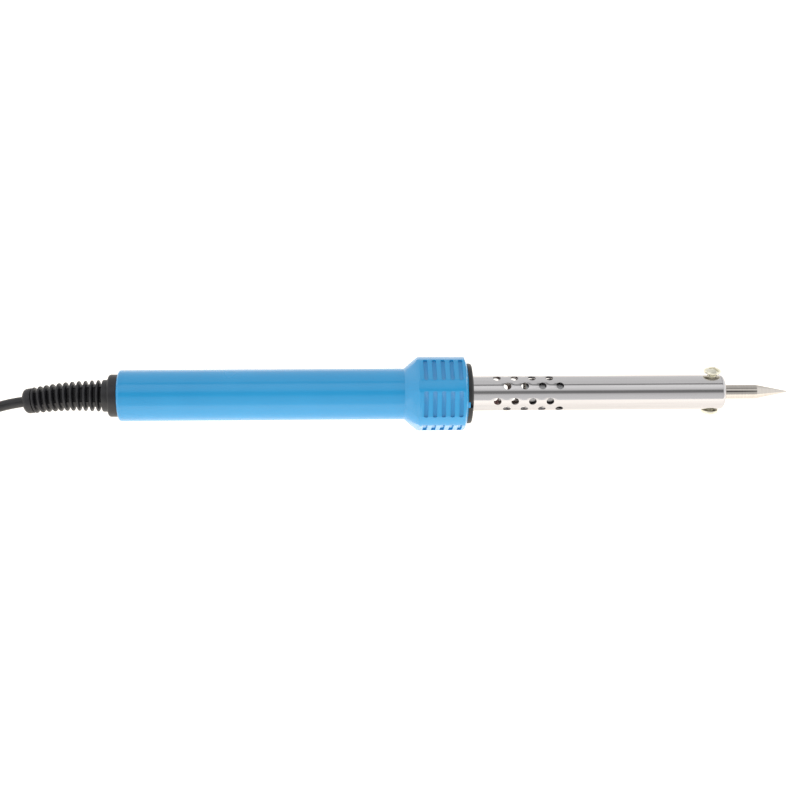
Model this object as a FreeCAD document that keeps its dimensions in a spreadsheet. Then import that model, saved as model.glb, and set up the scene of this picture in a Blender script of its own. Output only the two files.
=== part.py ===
import FreeCAD, Part
import math
import os

import Sketcher
from FreeCAD import Placement, Rotation, Vector

# A mains soldering iron that lies on its grip, with its cord folded into a tied hank behind it.
# Millimetres. The tool's axis runs along X, with the tip at +X, and Z is up from the bench.
# A station is a distance along the tool's axis, counted from the rear face of the boot's flange
# towards the tip. A bearing is an angle about that axis: 0 faces -Y and 90 faces up.

doc = FreeCAD.newDocument("SolderingIron")
sheet = doc.addObject("Spreadsheet::Sheet", "Sizes")

sizes = [
    ("fixedFit", 0.05, "gap on the radius between pieces that are pressed or bonded together"),
    ("runningFit", 0.08, "gap on the radius where a piece slides or turns in another"),
    ("gripFlat", 12.0, "axis to each flat of the grip, and so to the bench"),
    ("gripRadius", 12.75, "radius of the grip between its flats"),
    ("flatCount", 6, "flats round the grip"),
    ("gripLength", 16.9, "grip from the top of its cone to its front face"),
    ("flatStart", 0.5, "flats start this far in front of the cone"),
    ("rampAngle", 30.0, "slope of each flat's run-out over the cone"),
    ("flatClearance", 0.3, "gap on the radius between a flat's run-out and the tube"),
    ("bevelLength", 1.0, "grip's front bevel along the axis"),
    ("bevelDepth", 2.3, "grip's front bevel on the radius"),
    ("grooveCount", 5, "grooves across each flat"),
    ("groovePitch", 2.96, "groove to groove"),
    ("grooveWidth", 1.45, "width of each groove"),
    ("grooveDepth", 0.5, "depth of each groove under its flat"),
    ("grooveStart", 2.5, "cone to the first groove's middle"),
    ("handleRadius", 8.75, "outside of the handle's tube"),
    ("tubeLength", 96.7, "handle's tube from its rear face to the cone"),
    ("coneLength", 4.5, "length of the cone between tube and grip"),
    ("handleWall", 1.8, "wall of the handle's tube"),
    ("handleRearWall", 4.0, "thickness of the handle's rear end"),
    ("rearRounding", 1.0, "rounding of the handle's rear edge"),
    ("keyWidth", 2.0, "width of the key on the grip's face"),
    ("keyHeight", 1.6, "key's reach along the radius"),
    ("keyLength", 0.65, "key's reach in front of the grip's face"),
    ("keyBearing", 25.0, "bearing of the key"),
    ("ringRadius", 10.3, "outside of the front ring"),
    ("ringRim", 1.3, "thickness of the ring's rim"),
    ("ringDome", 0.8, "rise of the ring's front from rim to barrel"),
    ("spigotWall", 1.9, "wall of the ring's spigot"),
    ("spigotLength", 12.5, "length of the spigot in the grip"),
    ("barrelRadius", 6.0, "outside of the barrel"),
    ("barrelWall", 0.5, "wall of the barrel"),
    ("barrelReach", 89.1, "barrel in front of the grip's face"),
    ("barrelNoseWall", 0.8, "thickness of the barrel's closed front end"),
    ("barrelNoseRounding", 1.5, "rounding of the barrel's front edge"),
    ("flangeThickness", 1.0, "thickness of the barrel's flange"),
    ("flangeOverhang", 1.8, "flange's reach outside the barrel"),
    ("ventRadius", 1.3, "radius of each vent"),
    ("ventPitch", 6.0, "vent to vent along a row"),
    ("ventsPerRow", 4, "vents in each row"),
    ("ventRowPairs", 5, "pairs of rows, one row of each pair half a pitch in front of the other"),
    ("ventRowAngle", 34.1, "angle between neighbouring rows"),
    ("ventBearing", 72.0, "bearing of the first row"),
    ("ventStart", 10.0, "grip's face to the first vent of the rear rows"),
    ("ventStagger", 3.4, "front rows start this far in front of the rear rows"),
    ("tipRadius", 2.5, "radius of the tip's shank"),
    ("tipInside", 58.6, "length of the tip inside the barrel"),
    ("tipShank", 11.4, "tip's straight shank in front of the barrel"),
    ("tipCone", 11.0, "length of the tip's cone"),
    ("tipPoint", 0.28, "radius of the tip's rounded point"),
    ("tipChamfer", 0.4, "chamfer of the tip's rear end"),
    ("screwSetBack", 4.2, "barrel's front end to the clamp screws"),
    ("screwBearing", 120.0, "bearing of the upper clamp screw, opposite the lower one"),
    ("screwRadius", 1.5, "outer radius of the clamp screws' thread"),
    ("screwPitch", 0.5, "pitch of the clamp screws' thread"),
    ("threadDepth", 0.2, "depth of the clamp screws' thread"),
    ("screwHeadRadius", 2.92, "radius of the clamp screws' heads"),
    ("screwHeadEdge", 0.7, "height of a head's straight edge"),
    ("screwHeadDome", 1.05, "height of a head's dome over its edge"),
    ("slotWidth", 0.8, "width of the slot and of the cross in a clamp screw's head"),
    ("slotDepth", 0.75, "depth of the slot under the head's top"),
    ("crossLength", 3.0, "length of the cross's arms, end to end"),
    ("crossDepth", 1.2, "depth of the cross under the head's top"),
    ("upperScrewLift", 0.95, "barrel's surface to the underside of the upper screw's head"),
    ("lowerScrewLift", 0.2, "barrel's surface to the underside of the lower screw's head"),
    ("bushLength", 7.3, "length of the clamp bush"),
    ("bushSeat", 1.2, "depth of the bush's seat for the heater's sleeve"),
    ("heaterGapShare", 0.25, "gap round the heater, as a share of the room between tip and barrel"),
    ("heaterSleeveShare", 0.14, "wall of the heater's steel sleeve, as a share of that room"),
    ("coreShare", 0.25, "wall of the heater's ceramic core, as a share of that room"),
    ("windingShare", 0.16, "thickness of the heater's winding, as a share of that room"),
    ("micaShare", 0.07, "thickness of the mica wrap, as a share of that room"),
    ("heaterLength", 62.0, "length of the heater's steel sleeve"),
    ("heaterPlug", 2.6, "length of the insulator in the sleeve's rear end"),
    ("heaterPlugInset", 0.5, "insulator's rear face inside the sleeve's rear end"),
    ("coreGap", 0.3, "gap on the radius between the tip and the heater's core"),
    ("windingPitch", 2.4, "turn to turn of the heater's winding"),
    ("micaOpening", 25.0, "angle of the mica wrap's open seam"),
    ("leadRadius", 0.35, "radius of a heater lead"),
    ("leadOffset", 3.2, "axis to each heater lead"),
    ("leadBearing", 40.0, "bearing of the first heater lead, opposite the second"),
    ("leadSleeveRadius", 1.1, "outside of a lead's insulating sleeve"),
    ("leadSleeveGap", 8.7, "lead sleeves' front ends behind the heater's insulator"),
    ("blockStation", 62.0, "station of the terminal block's rear end"),
    ("blockLength", 18.0, "length of the terminal block"),
    ("blockWidth", 11.6, "width of the terminal block"),
    ("blockHeight", 5.4, "height of the terminal block"),
    ("wireGap", 1.0, "gap between wires in a terminal's middle, and from its block to a sleeve"),
    ("terminalRadius", 1.9, "outside of a terminal tube"),
    ("terminalBore", 1.2, "bore of a terminal tube"),
    ("terminalLength", 16.0, "length of a terminal tube"),
    ("terminalScrewRadius", 0.9, "radius of a terminal screw"),
    ("terminalScrewPitch", 9.0, "distance between a terminal's two screws"),
    ("terminalScrewInset", 0.3, "terminal screws' tops under the block's top"),
    ("driverSlotWidth", 0.4, "width of the slot in a terminal screw"),
    ("driverSlotDepth", 0.5, "depth of the slot in a terminal screw"),
    ("cordRadius", 1.8, "radius of the cord"),
    ("coreRadius", 0.85, "radius of each insulated core in the cord"),
    ("jacketStation", 24.0, "station where the cord's jacket ends in the handle"),
    ("anchorStation", 12.0, "station of the cord clamp's rear end"),
    ("anchorLength", 8.0, "length of the cord clamp"),
    ("anchorSplit", 0.4, "gap between the cord clamp's halves"),
    ("anchorScrewRadius", 0.8, "radius of the cord clamp's screws"),
    ("anchorScrewOffset", 4.0, "axis to each of the cord clamp's screws"),
    ("anchorHeadRadius", 1.36, "radius of the cord clamp's screw heads"),
    ("anchorSeatShare", 0.3, "axis to the screw heads' seats, as a share of the handle's cavity"),
    ("anchorFootShare", 1.5, "depth of the clamp's screw holes, as a share of the seats' height"),
    ("bootFlangeRadius", 7.2, "radius of the boot's flange"),
    ("bootFlange", 3.4, "thickness of the boot's flange"),
    ("bootFlangeRounding", 0.9, "rounding of the flange's rear edge"),
    ("bootNeckRadius", 4.0, "radius of the boot's neck in the handle's rear end"),
    ("bootLip", 1.5, "thickness of the lip that holds the boot in the handle"),
    ("bootLipStep", 0.9, "lip's reach outside the neck"),
    ("bootLength", 29.1, "boot behind its flange, end to end"),
    ("bootCollar", 2.0, "length of the plain collar beside the flange"),
    ("bootEndCollar", 3.1, "length of the plain collar at the boot's end"),
    ("bootEndRounding", 1.5, "rounding of that collar's end"),
    ("bootRibCount", 11, "ribs along the boot"),
    ("bootRib", 1.15, "thickness of each rib"),
    ("bootRootRadius", 5.5, "radius of the first rib"),
    ("bootEndRadius", 4.25, "radius of the last rib"),
    ("bootRibHeight", 1.2, "ribs' height over the boot's core"),
    ("bootSlotCount", 3, "slots round the boot between one rib and the next"),
    ("bootSlotFloor", 2.35, "axis to the floor of the boot's slots"),
    ("bootSlotShare", 0.49, "half of a slot's width, as a share of its ribs' radius"),
    ("bootSlotBearing", 55.0, "bearing of the first row of slots"),
    ("bootBendStart", 8.0, "flange to the start of the boot's bend"),
    ("bootBendLength", 12.0, "length of the boot's bend along the axis"),
    ("bootDroop", 10.5, "slope of the cord as it leaves the boot"),
    ("hankStart", 72.0, "flange to the hank's near end"),
    ("hankLength", 78.0, "length of the hank"),
    ("hankSide", 4.0, "hank's middle beside the tool's axis"),
    ("hankEndRadius", 16.2, "radius of the hank's round ends"),
    ("hankLayers", 4, "layers of cord in the hank"),
    ("hankColumns", 2, "strands beside each other on each side of the hank"),
    ("waistMargin", 1.0, "hank's straight waist past each edge of the tie"),
    ("tieWidth", 6.0, "width of the tie"),
    ("tieThickness", 0.9, "thickness of the tie"),
    ("plugStart", 182.0, "flange to the plug's strain relief"),
    ("plugSide", 2.5, "plug's axis beside the tool's axis"),
    ("plugReliefLength", 20.0, "length of the plug's strain relief"),
    ("plugReliefRadius", 4.4, "strain relief's radius at the plug"),
    ("plugReliefTip", 2.5, "strain relief's radius at the cord"),
    ("plugLength", 28.0, "length of the plug's body"),
    ("plugWidth", 35.0, "width of the plug's body"),
    ("plugThickness", 13.7, "thickness of the plug's body"),
    ("plugShoulder", 20.0, "width of the plug's body where the cord enters"),
    ("plugShoulderLength", 12.6, "length of the plug's sloping shoulders"),
    ("plugEdge", 2.5, "rounding of the plug's edges"),
    ("pinSpacing", 18.6, "pin to pin"),
    ("pinRadius", 2.0, "radius of each pin's bare end"),
    ("pinLength", 19.0, "pins in front of the plug's body"),
    ("pinSleeveLength", 10.0, "insulated part of each pin"),
    ("pinSleeveRadius", 1.8, "outside of a pin's sleeve"),
    ("pinNeckRadius", 1.4, "radius of a pin inside its sleeve and the plug"),
    ("pinRoot", 8.0, "length of each pin inside the plug"),
]
for row, (name, number, meaning) in enumerate(sizes, start=1):
    sheet.set(f"A{row}", name)
    sheet.set(f"B{row}", str(number))
    sheet.setAlias(f"B{row}", name)
    sheet.set(f"C{row}", meaning)
doc.recompute()


class Size:
    # A measure that carries its number and the expression that ties it to the sheet.
    def __init__(self, number, text):
        self.number = number
        self.text = text

    def __add__(self, other):
        other = sized(other)
        return Size(self.number + other.number, f"({self.text} + {other.text})")

    def __sub__(self, other):
        other = sized(other)
        return Size(self.number - other.number, f"({self.text} - {other.text})")

    def __mul__(self, other):
        other = sized(other)
        return Size(self.number * other.number, f"({self.text} * {other.text})")

    def __truediv__(self, other):
        other = sized(other)
        return Size(self.number / other.number, f"({self.text} / {other.text})")

    def __neg__(self):
        return Size(-self.number, f"(0 - {self.text})")


class Sheet:
    # Reads a size from the sheet by its name.
    def __getattr__(self, name):
        return Size(float(sheet.get(name)), f"Sizes.{name}")


def sized(value):
    if isinstance(value, Size):
        return value
    return Size(float(value), f"({float(value)})")


def tangentOf(angle):
    return Size(math.tan(math.radians(angle.number)), f"tan({angle.text} * 1 deg)")


def sineOf(angle):
    return Size(math.sin(math.radians(angle.number)), f"sin({angle.text} * 1 deg)")


s = Sheet()
tiny = 0.01
overcut = 1.0
domeSteps = 15

# Stations and radii that several pieces share. A cut runs past its piece by the overcut.
handleRear = s.bootFlange
coneStart = handleRear + s.tubeLength
gripStart = coneStart + s.coneLength
gripFace = gripStart + s.gripLength
cavityRadius = s.handleRadius - s.handleWall
barrelBore = s.barrelRadius - s.barrelWall
flangeRadius = s.barrelRadius + s.flangeOverhang
spigotRadius = s.barrelRadius + s.fixedFit + s.spigotWall
spigotBore = spigotRadius + s.fixedFit
barrelRear = gripFace - s.spigotLength - s.flangeThickness
barrelFront = gripFace + s.barrelReach
noseInside = barrelFront - s.barrelNoseWall
tipBore = s.tipRadius + s.runningFit
tipRear = barrelFront - s.tipInside
tipEnd = barrelFront + s.tipShank + s.tipCone
screwStation = barrelFront - s.screwSetBack
screwBore = s.screwRadius + s.runningFit
bushRear = noseInside - s.bushLength
heaterFront = bushRear + s.bushSeat
heaterRear = heaterFront - s.heaterLength
plugInRear = heaterRear + s.heaterPlugInset
coreRear = plugInRear + s.heaterPlug
coreBore = s.tipRadius + s.coreGap
heaterRoom = barrelBore - coreBore
coreOutside = coreBore + heaterRoom * s.coreShare
heaterRadius = barrelBore - heaterRoom * s.heaterGapShare
heaterBore = heaterRadius - heaterRoom * s.heaterSleeveShare
bootHole = s.cordRadius + s.fixedFit
neckBore = s.bootNeckRadius + s.fixedFit
terminalRear = s.blockStation + (s.blockLength - s.terminalLength) / 2
cordBottom = s.tieThickness

# The boot ends where its collar's rounded upper edge, tipped back by the droop, reaches its full length.
tipBack = s.bootEndRadius - s.bootEndRounding + s.bootEndRounding * tangentOf(s.bootDroop / 2)
bootEnd = s.bootLength - tipBack * sineOf(s.bootDroop)
toolMiddle = (tipEnd - s.bootLength) / 2

parts = []


def newBody(label):
    body = doc.addObject("PartDesign::Body", label)
    body.Label = label
    parts.append(body)
    return body


def originFeature(body, role):
    return next(item for item in body.Origin.OriginFeatures if item.Role == role)


def newSketch(body, name, role, turn=0.0, offset=0.0):
    # A sketch on an origin plane, moved along its normal, then turned about the body's X axis.
    sketch = body.newObject("Sketcher::SketchObject", name)
    sketch.AttachmentSupport = [(originFeature(body, role), "")]
    sketch.MapMode = "FlatFace"
    offset = sized(offset)
    axis = Vector(0, 0, 1) if role == "YZ_Plane" else Vector(1, 0, 0)
    sketch.AttachmentOffset = Placement(Vector(0, 0, offset.number), Rotation(axis, turn))
    if offset.number:
        sketch.setExpression("AttachmentOffset.Base.z", offset.text)
    return sketch


def bindPoint(sketch, line, end, x, y):
    for kind, size in (("DistanceX", x), ("DistanceY", y)):
        if size.number == 0 and kind == "DistanceY":
            sketch.addConstraint(Sketcher.Constraint("PointOnObject", line, end, -1))
            continue
        index = sketch.addConstraint(Sketcher.Constraint(kind, -1, 1, line, end, size.number))
        sketch.setExpression(f"Constraints[{index}]", size.text)


def outline(sketch, points):
    corners = [(sized(x), sized(y)) for x, y in points]
    first = sketch.GeometryCount
    count = len(corners)
    for index, (x, y) in enumerate(corners):
        nextX, nextY = corners[(index + 1) % count]
        line = Part.LineSegment(Vector(x.number, y.number, 0), Vector(nextX.number, nextY.number, 0))
        sketch.addGeometry(line, False)
    for index in range(count):
        follower = first + (index + 1) % count
        sketch.addConstraint(Sketcher.Constraint("Coincident", first + index, 2, follower, 1))
    for index, (x, y) in enumerate(corners):
        bindPoint(sketch, first + index, 1, x, y)


def rectangle(sketch, lowX, highX, lowY, highY):
    outline(sketch, [(lowX, lowY), (highX, lowY), (highX, highY), (lowX, highY)])


def circle(sketch, x, y, radius):
    x, y, radius = sized(x), sized(y), sized(radius)
    index = sketch.addGeometry(Part.Circle(Vector(x.number, y.number, 0), Vector(0, 0, 1), radius.number))
    bindPoint(sketch, index, 3, x, y)
    bound = sketch.addConstraint(Sketcher.Constraint("Radius", index, radius.number))
    sketch.setExpression(f"Constraints[{bound}]", radius.text)


def turn(body, name, points, angle=360.0):
    # Spins an outline of (station, radius) points about the body's X axis.
    sketch = newSketch(body, f"{name}Profile", "XZ_Plane")
    outline(sketch, points)
    feature = body.newObject("PartDesign::Revolution", name)
    feature.Profile = sketch
    feature.ReferenceAxis = (sketch, ["H_Axis"])
    feature.Angle = angle
    return feature


def pad(body, name, sketch, length, symmetric=False):
    feature = body.newObject("PartDesign::Pad", name)
    feature.Profile = sketch
    length = sized(length)
    feature.Length = length.number
    feature.setExpression("Length", length.text)
    if symmetric:
        feature.SideType = "Symmetric"
    return feature


def pocket(body, name, sketch, length, symmetric=False, forward=False):
    # Forward cuts along the sketch's normal, and otherwise against it.
    feature = body.newObject("PartDesign::Pocket", name)
    feature.Profile = sketch
    length = sized(length)
    feature.Length = length.number
    feature.setExpression("Length", length.text)
    feature.Reversed = forward
    if symmetric:
        feature.SideType = "Symmetric"
    return feature


def ringOf(body, name, originals, count, angle, backwards=False):
    # Repeats features round the body's X axis.
    pattern = body.newObject("PartDesign::PolarPattern", name)
    pattern.Originals = originals
    pattern.Axis = (originFeature(body, "X_Axis"), [""])
    count, angle = sized(count), sized(angle)
    pattern.Angle = angle.number
    pattern.setExpression("Angle", angle.text)
    pattern.Occurrences = int(count.number)
    pattern.setExpression("Occurrences", count.text)
    pattern.Reversed = backwards
    body.Tip = pattern
    return pattern


def roundEdges(body, name, base, radius, chosen):
    # Rounds the base's edges that the test picks by their middle and bounds.
    doc.recompute()
    names = [f"Edge{i}" for i, edge in enumerate(base.Shape.Edges, start=1) if chosen(edge)]
    rounding = body.newObject("PartDesign::Fillet", name)
    rounding.Base = (base, names)
    rounding.Radius = radius.number
    rounding.setExpression("Radius", radius.text)
    return rounding


def rim(station, radius):
    # Picks the full circle about X at a station and radius.
    def chosen(edge):
        box = edge.BoundBox
        flat = abs(box.XMin - station.number) < tiny and abs(box.XMax - station.number) < tiny
        return flat and abs(box.ZMax - radius.number) < tiny and abs(box.ZMin + radius.number) < tiny
    return chosen


def onAxis(piece, bearing=0.0):
    # Seats a piece drawn about X on the tool's axis, with its own -Y side turned to a bearing.
    place = Vector(-toolMiddle.number, 0, s.gripFlat.number)
    piece.Placement = Placement(place, Rotation(Vector(1, 0, 0), -bearing))
    piece.setExpression("Placement.Base.x", (-toolMiddle).text)
    piece.setExpression("Placement.Base.z", s.gripFlat.text)


def bearingTurn(bearing):
    # Turn about X that carries the XY plane's upward normal to a bearing.
    return 90.0 - bearing


def tube(rOut, rIn, start, end):
    return [(start, rIn), (end, rIn), (end, rOut), (start, rOut)]


# ---- handle, ring and barrel


def makeHandle():
    body = newBody("handle_shell")
    rearInside = handleRear + s.handleRearWall
    turn(body, "HandleTurned", [
        (handleRear, s.handleRadius),
        (coneStart, s.handleRadius),
        (gripStart, s.gripRadius),
        (gripFace - s.bevelLength, s.gripRadius),
        (gripFace, s.gripRadius - s.bevelDepth),
        (gripFace, spigotBore),
        (barrelRear, spigotBore),
        (barrelRear, cavityRadius),
        (rearInside, cavityRadius),
        (rearInside, neckBore),
        (handleRear, neckBore),
    ])

    # Each flat runs out over the cone, and stops clear of the tube.
    rampFoot = s.handleRadius + s.flatClearance
    flatRear = gripStart + s.flatStart
    rampRear = flatRear - (s.gripFlat - rampFoot) / tangentOf(s.rampAngle)
    clearRadius = s.gripRadius + overcut
    clearFace = gripFace + overcut
    flatSketch = newSketch(body, "FlatProfile", "XZ_Plane")
    outline(flatSketch, [
        (rampRear, rampFoot),
        (flatRear, s.gripFlat),
        (clearFace, s.gripFlat),
        (clearFace, clearRadius),
        (rampRear, clearRadius),
    ])
    flat = pocket(body, "Flat", flatSketch, s.gripRadius * 2, symmetric=True)

    grooveSketch = newSketch(body, "GrooveProfile", "XZ_Plane")
    for index in range(int(s.grooveCount.number)):
        middle = gripStart + s.grooveStart + s.groovePitch * index
        rectangle(grooveSketch, middle - s.grooveWidth / 2, middle + s.grooveWidth / 2,
                  s.gripFlat - s.grooveDepth, clearRadius)
    grooves = pocket(body, "Grooves", grooveSketch, s.gripRadius * 2, symmetric=True)
    pattern = ringOf(body, "FlatsAround", [flat, grooves], s.flatCount, 360)

    rounded = roundEdges(body, "RearRounding", pattern, s.rearRounding, rim(handleRear, s.handleRadius))
    body.Tip = rounded

    keySketch = newSketch(body, "KeyProfile", "YZ_Plane", -s.keyBearing.number, gripFace)
    rectangle(keySketch, -s.ringRadius, s.keyHeight - s.ringRadius, -s.keyWidth / 2, s.keyWidth / 2)
    key = pad(body, "Key", keySketch, s.keyLength)
    body.Tip = key
    onAxis(body)


def makeRing():
    body = newBody("front_ring")
    bore = s.barrelRadius + s.fixedFit
    rimFront = gripFace + s.ringRim
    turn(body, "RingTurned", [
        (gripFace - s.spigotLength, bore),
        (gripFace - s.spigotLength, spigotRadius),
        (gripFace, spigotRadius),
        (gripFace, s.ringRadius),
        (rimFront, s.ringRadius),
        (rimFront + s.ringDome / 2, s.ringRadius - s.ringDome),
        (rimFront + s.ringDome, bore),
    ])
    notchSketch = newSketch(body, "NotchProfile", "YZ_Plane", -s.keyBearing.number, gripFace)
    halfNotch = s.keyWidth / 2 + s.fixedFit
    notchFloor = s.keyHeight - s.ringRadius + s.fixedFit
    rectangle(notchSketch, -(s.ringRadius + overcut), notchFloor, -halfNotch, halfNotch)
    notch = pocket(body, "KeyNotch", notchSketch, s.ringRim + s.ringDome, forward=True)
    body.Tip = notch
    onAxis(body)


def makeBarrel():
    body = newBody("barrel")
    corner = s.barrelNoseRounding / 2
    skin = turn(body, "BarrelTurned", [
        (barrelRear, barrelBore),
        (noseInside - corner, barrelBore),
        (noseInside, barrelBore - corner),
        (noseInside, tipBore),
        (barrelFront, tipBore),
        (barrelFront, s.barrelRadius),
        (barrelRear, s.barrelRadius),
    ])
    rounded = roundEdges(body, "NoseRounding", skin, s.barrelNoseRounding, rim(barrelFront, s.barrelRadius))
    body.Tip = rounded

    firstRow = s.ventBearing.number
    secondRow = firstRow + s.ventRowAngle.number
    span = s.ventRowAngle * 2 * (s.ventRowPairs - 1)
    rows = (("FrontRows", firstRow, s.ventStart + s.ventStagger), ("RearRows", secondRow, s.ventStart))
    for name, bearing, start in rows:
        sketch = newSketch(body, f"{name}Profile", "XY_Plane", bearingTurn(bearing))
        for index in range(int(s.ventsPerRow.number)):
            circle(sketch, gripFace + start + s.ventPitch * index, 0, s.ventRadius)
        row = pocket(body, name, sketch, s.barrelRadius + overcut, forward=True)
        ringOf(body, f"{name}Around", [row], s.ventRowPairs, span, backwards=True)

    holeSketch = newSketch(body, "ScrewHoleProfile", "XY_Plane", bearingTurn(s.screwBearing.number))
    circle(holeSketch, screwStation, 0, screwBore + s.runningFit)
    holes = pocket(body, "ScrewHoles", holeSketch, (s.barrelRadius + overcut) * 2, symmetric=True)
    body.Tip = holes
    onAxis(body)


def makeFlange():
    body = newBody("barrel_flange")
    turn(body, "FlangeTurned", tube(flangeRadius, s.barrelRadius + s.fixedFit, barrelRear,
                                    barrelRear + s.flangeThickness))
    onAxis(body)


# ---- tip, bush, screws and heater


def makeTip():
    body = newBody("tip")
    coneStation = barrelFront + s.tipShank
    turn(body, "TipTurned", [
        (tipRear, 0),
        (tipRear, s.tipRadius - s.tipChamfer),
        (tipRear + s.tipChamfer, s.tipRadius),
        (coneStation, s.tipRadius),
        (tipEnd - s.tipPoint, s.tipPoint),
        (tipEnd, 0),
    ])
    onAxis(body)


def makeClampBush():
    body = newBody("clamp_bush")
    outside = barrelBore - s.fixedFit
    seat = heaterRadius + s.fixedFit
    corner = s.barrelNoseRounding / 2
    turn(body, "BushTurned", [
        (bushRear, seat),
        (bushRear, outside),
        (noseInside - corner - s.fixedFit, outside),
        (noseInside, outside - corner - s.fixedFit),
        (noseInside, tipBore),
        (heaterFront, tipBore),
        (heaterFront, seat),
    ])
    sketch = newSketch(body, "TappedProfile", "XY_Plane", bearingTurn(s.screwBearing.number))
    circle(sketch, screwStation, 0, screwBore)
    tapped = pocket(body, "TappedHoles", sketch, s.barrelRadius * 2, symmetric=True)
    body.Tip = tapped
    onAxis(body)


def makeClampScrew(label, bearing, headLift):
    # Drawn on its side: the outline runs along X, from the screw's inner end to the head's top.
    body = newBody(label)
    underHead = s.barrelRadius + headLift
    inner = s.tipRadius + s.runningFit
    root = s.screwRadius - s.threadDepth
    points = [(inner, 0), (inner, root)]
    turns = int((underHead - inner).number / s.screwPitch.number)
    for index in range(turns):
        crest = inner + s.screwPitch * (index + 0.5)
        points.append((crest, s.screwRadius))
        points.append((crest + s.screwPitch / 2, root))
    edge = underHead + s.screwHeadEdge
    top = edge + s.screwHeadDome
    if (underHead - inner - s.screwPitch * turns).number > tiny:
        points.append((underHead, root))
    points += [(underHead, s.screwHeadRadius), (edge, s.screwHeadRadius)]
    for rise in range(domeSteps, 90, domeSteps):
        lift, shrink = math.sin(math.radians(rise)), math.cos(math.radians(rise))
        points.append((edge + s.screwHeadDome * lift, s.screwHeadRadius * shrink))
    points.append((top, 0))
    turn(body, f"{label}Turned", points)

    slotSketch = newSketch(body, f"{label}SlotProfile", "XY_Plane")
    rectangle(slotSketch, top - s.slotDepth, top + overcut, -s.slotWidth / 2, s.slotWidth / 2)
    pocket(body, f"{label}Slot", slotSketch, s.screwHeadRadius * 2 + overcut, symmetric=True)
    crossSketch = newSketch(body, f"{label}CrossProfile", "YZ_Plane", 0.0, top + overcut)
    rectangle(crossSketch, -s.crossLength / 2, s.crossLength / 2, -s.slotWidth / 2, s.slotWidth / 2)
    cross = pocket(body, f"{label}Cross", crossSketch, s.crossDepth + overcut)
    body.Tip = cross

    # The screw's own X axis is laid along its bearing.
    place = Vector((screwStation - toolMiddle).number, 0, s.gripFlat.number)
    turned = math.radians(bearing)
    outward = Vector(0, -math.cos(turned), math.sin(turned))
    body.Placement = Placement(place, Rotation(Vector(1, 0, 0), outward))
    body.setExpression("Placement.Base.x", (screwStation - toolMiddle).text)
    body.setExpression("Placement.Base.z", s.gripFlat.text)


def makeHeater():
    core = newBody("heater_core")
    turn(core, "CoreTurned", tube(coreOutside, coreBore, coreRear, heaterFront))

    # The winding's turns are drawn as rings side by side.
    winding = newBody("heater_winding")
    inside = coreOutside + s.fixedFit
    wire = heaterRoom * s.windingShare
    outside = inside + wire
    turnStart = coreRear + s.heaterPlug
    turns = int((heaterFront - turnStart - s.heaterPlug).number / s.windingPitch.number)
    ridges = []
    for index in range(turns):
        rise = turnStart + s.windingPitch * index
        ridges.append((rise, inside + wire / 2))
        ridges.append((rise + s.windingPitch / 2, outside))
    turnEnd = turnStart + s.windingPitch * turns
    ridges += [(turnEnd, inside + wire / 2), (turnEnd, inside), (turnStart, inside)]
    turn(winding, "WindingTurned", ridges)

    wrap = newBody("mica_wrap")
    micaInside = outside + s.fixedFit
    micaOutside = micaInside + heaterRoom * s.micaShare
    turn(wrap, "MicaTurned", tube(micaOutside, micaInside, turnStart, turnEnd),
         360.0 - s.micaOpening.number)

    sleeve = newBody("heater_sleeve")
    turn(sleeve, "SleeveTurned", tube(heaterRadius, heaterBore, heaterRear, heaterFront))

    insulator = newBody("rear_insulator")
    plugRadius = heaterBore - s.fixedFit
    turn(insulator, "InsulatorTurned", [(plugInRear, 0), (coreRear, 0), (coreRear, plugRadius),
                                        (plugInRear, plugRadius)])
    holeSketch = newSketch(insulator, "LeadHoleProfile", "YZ_Plane", 0.0, plugInRear)
    for side in (-1, 1):
        circle(holeSketch, s.leadOffset * side, 0, s.leadRadius + s.fixedFit)
    holes = pocket(insulator, "LeadHoles", holeSketch, s.heaterPlug, forward=True)
    insulator.Tip = holes

    for body in (core, winding, wrap, sleeve, insulator):
        onAxis(body, s.leadBearing.number)


# ---- wiring in the handle


def rods(label, radius, offset, start, end, bore=None):
    # Two straight rods or tubes, one on each side of the axis.
    body = newBody(label)
    body.AllowCompound = True
    sketch = newSketch(body, f"{label}Profile", "YZ_Plane", 0.0, start)
    for side in (-1, 1):
        circle(sketch, offset * side, 0, radius)
        if bore is not None:
            circle(sketch, offset * side, 0, bore)
    feature = pad(body, f"{label}Pad", sketch, end - start)
    body.Tip = feature
    onAxis(body, s.leadBearing.number)
    return body


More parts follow.
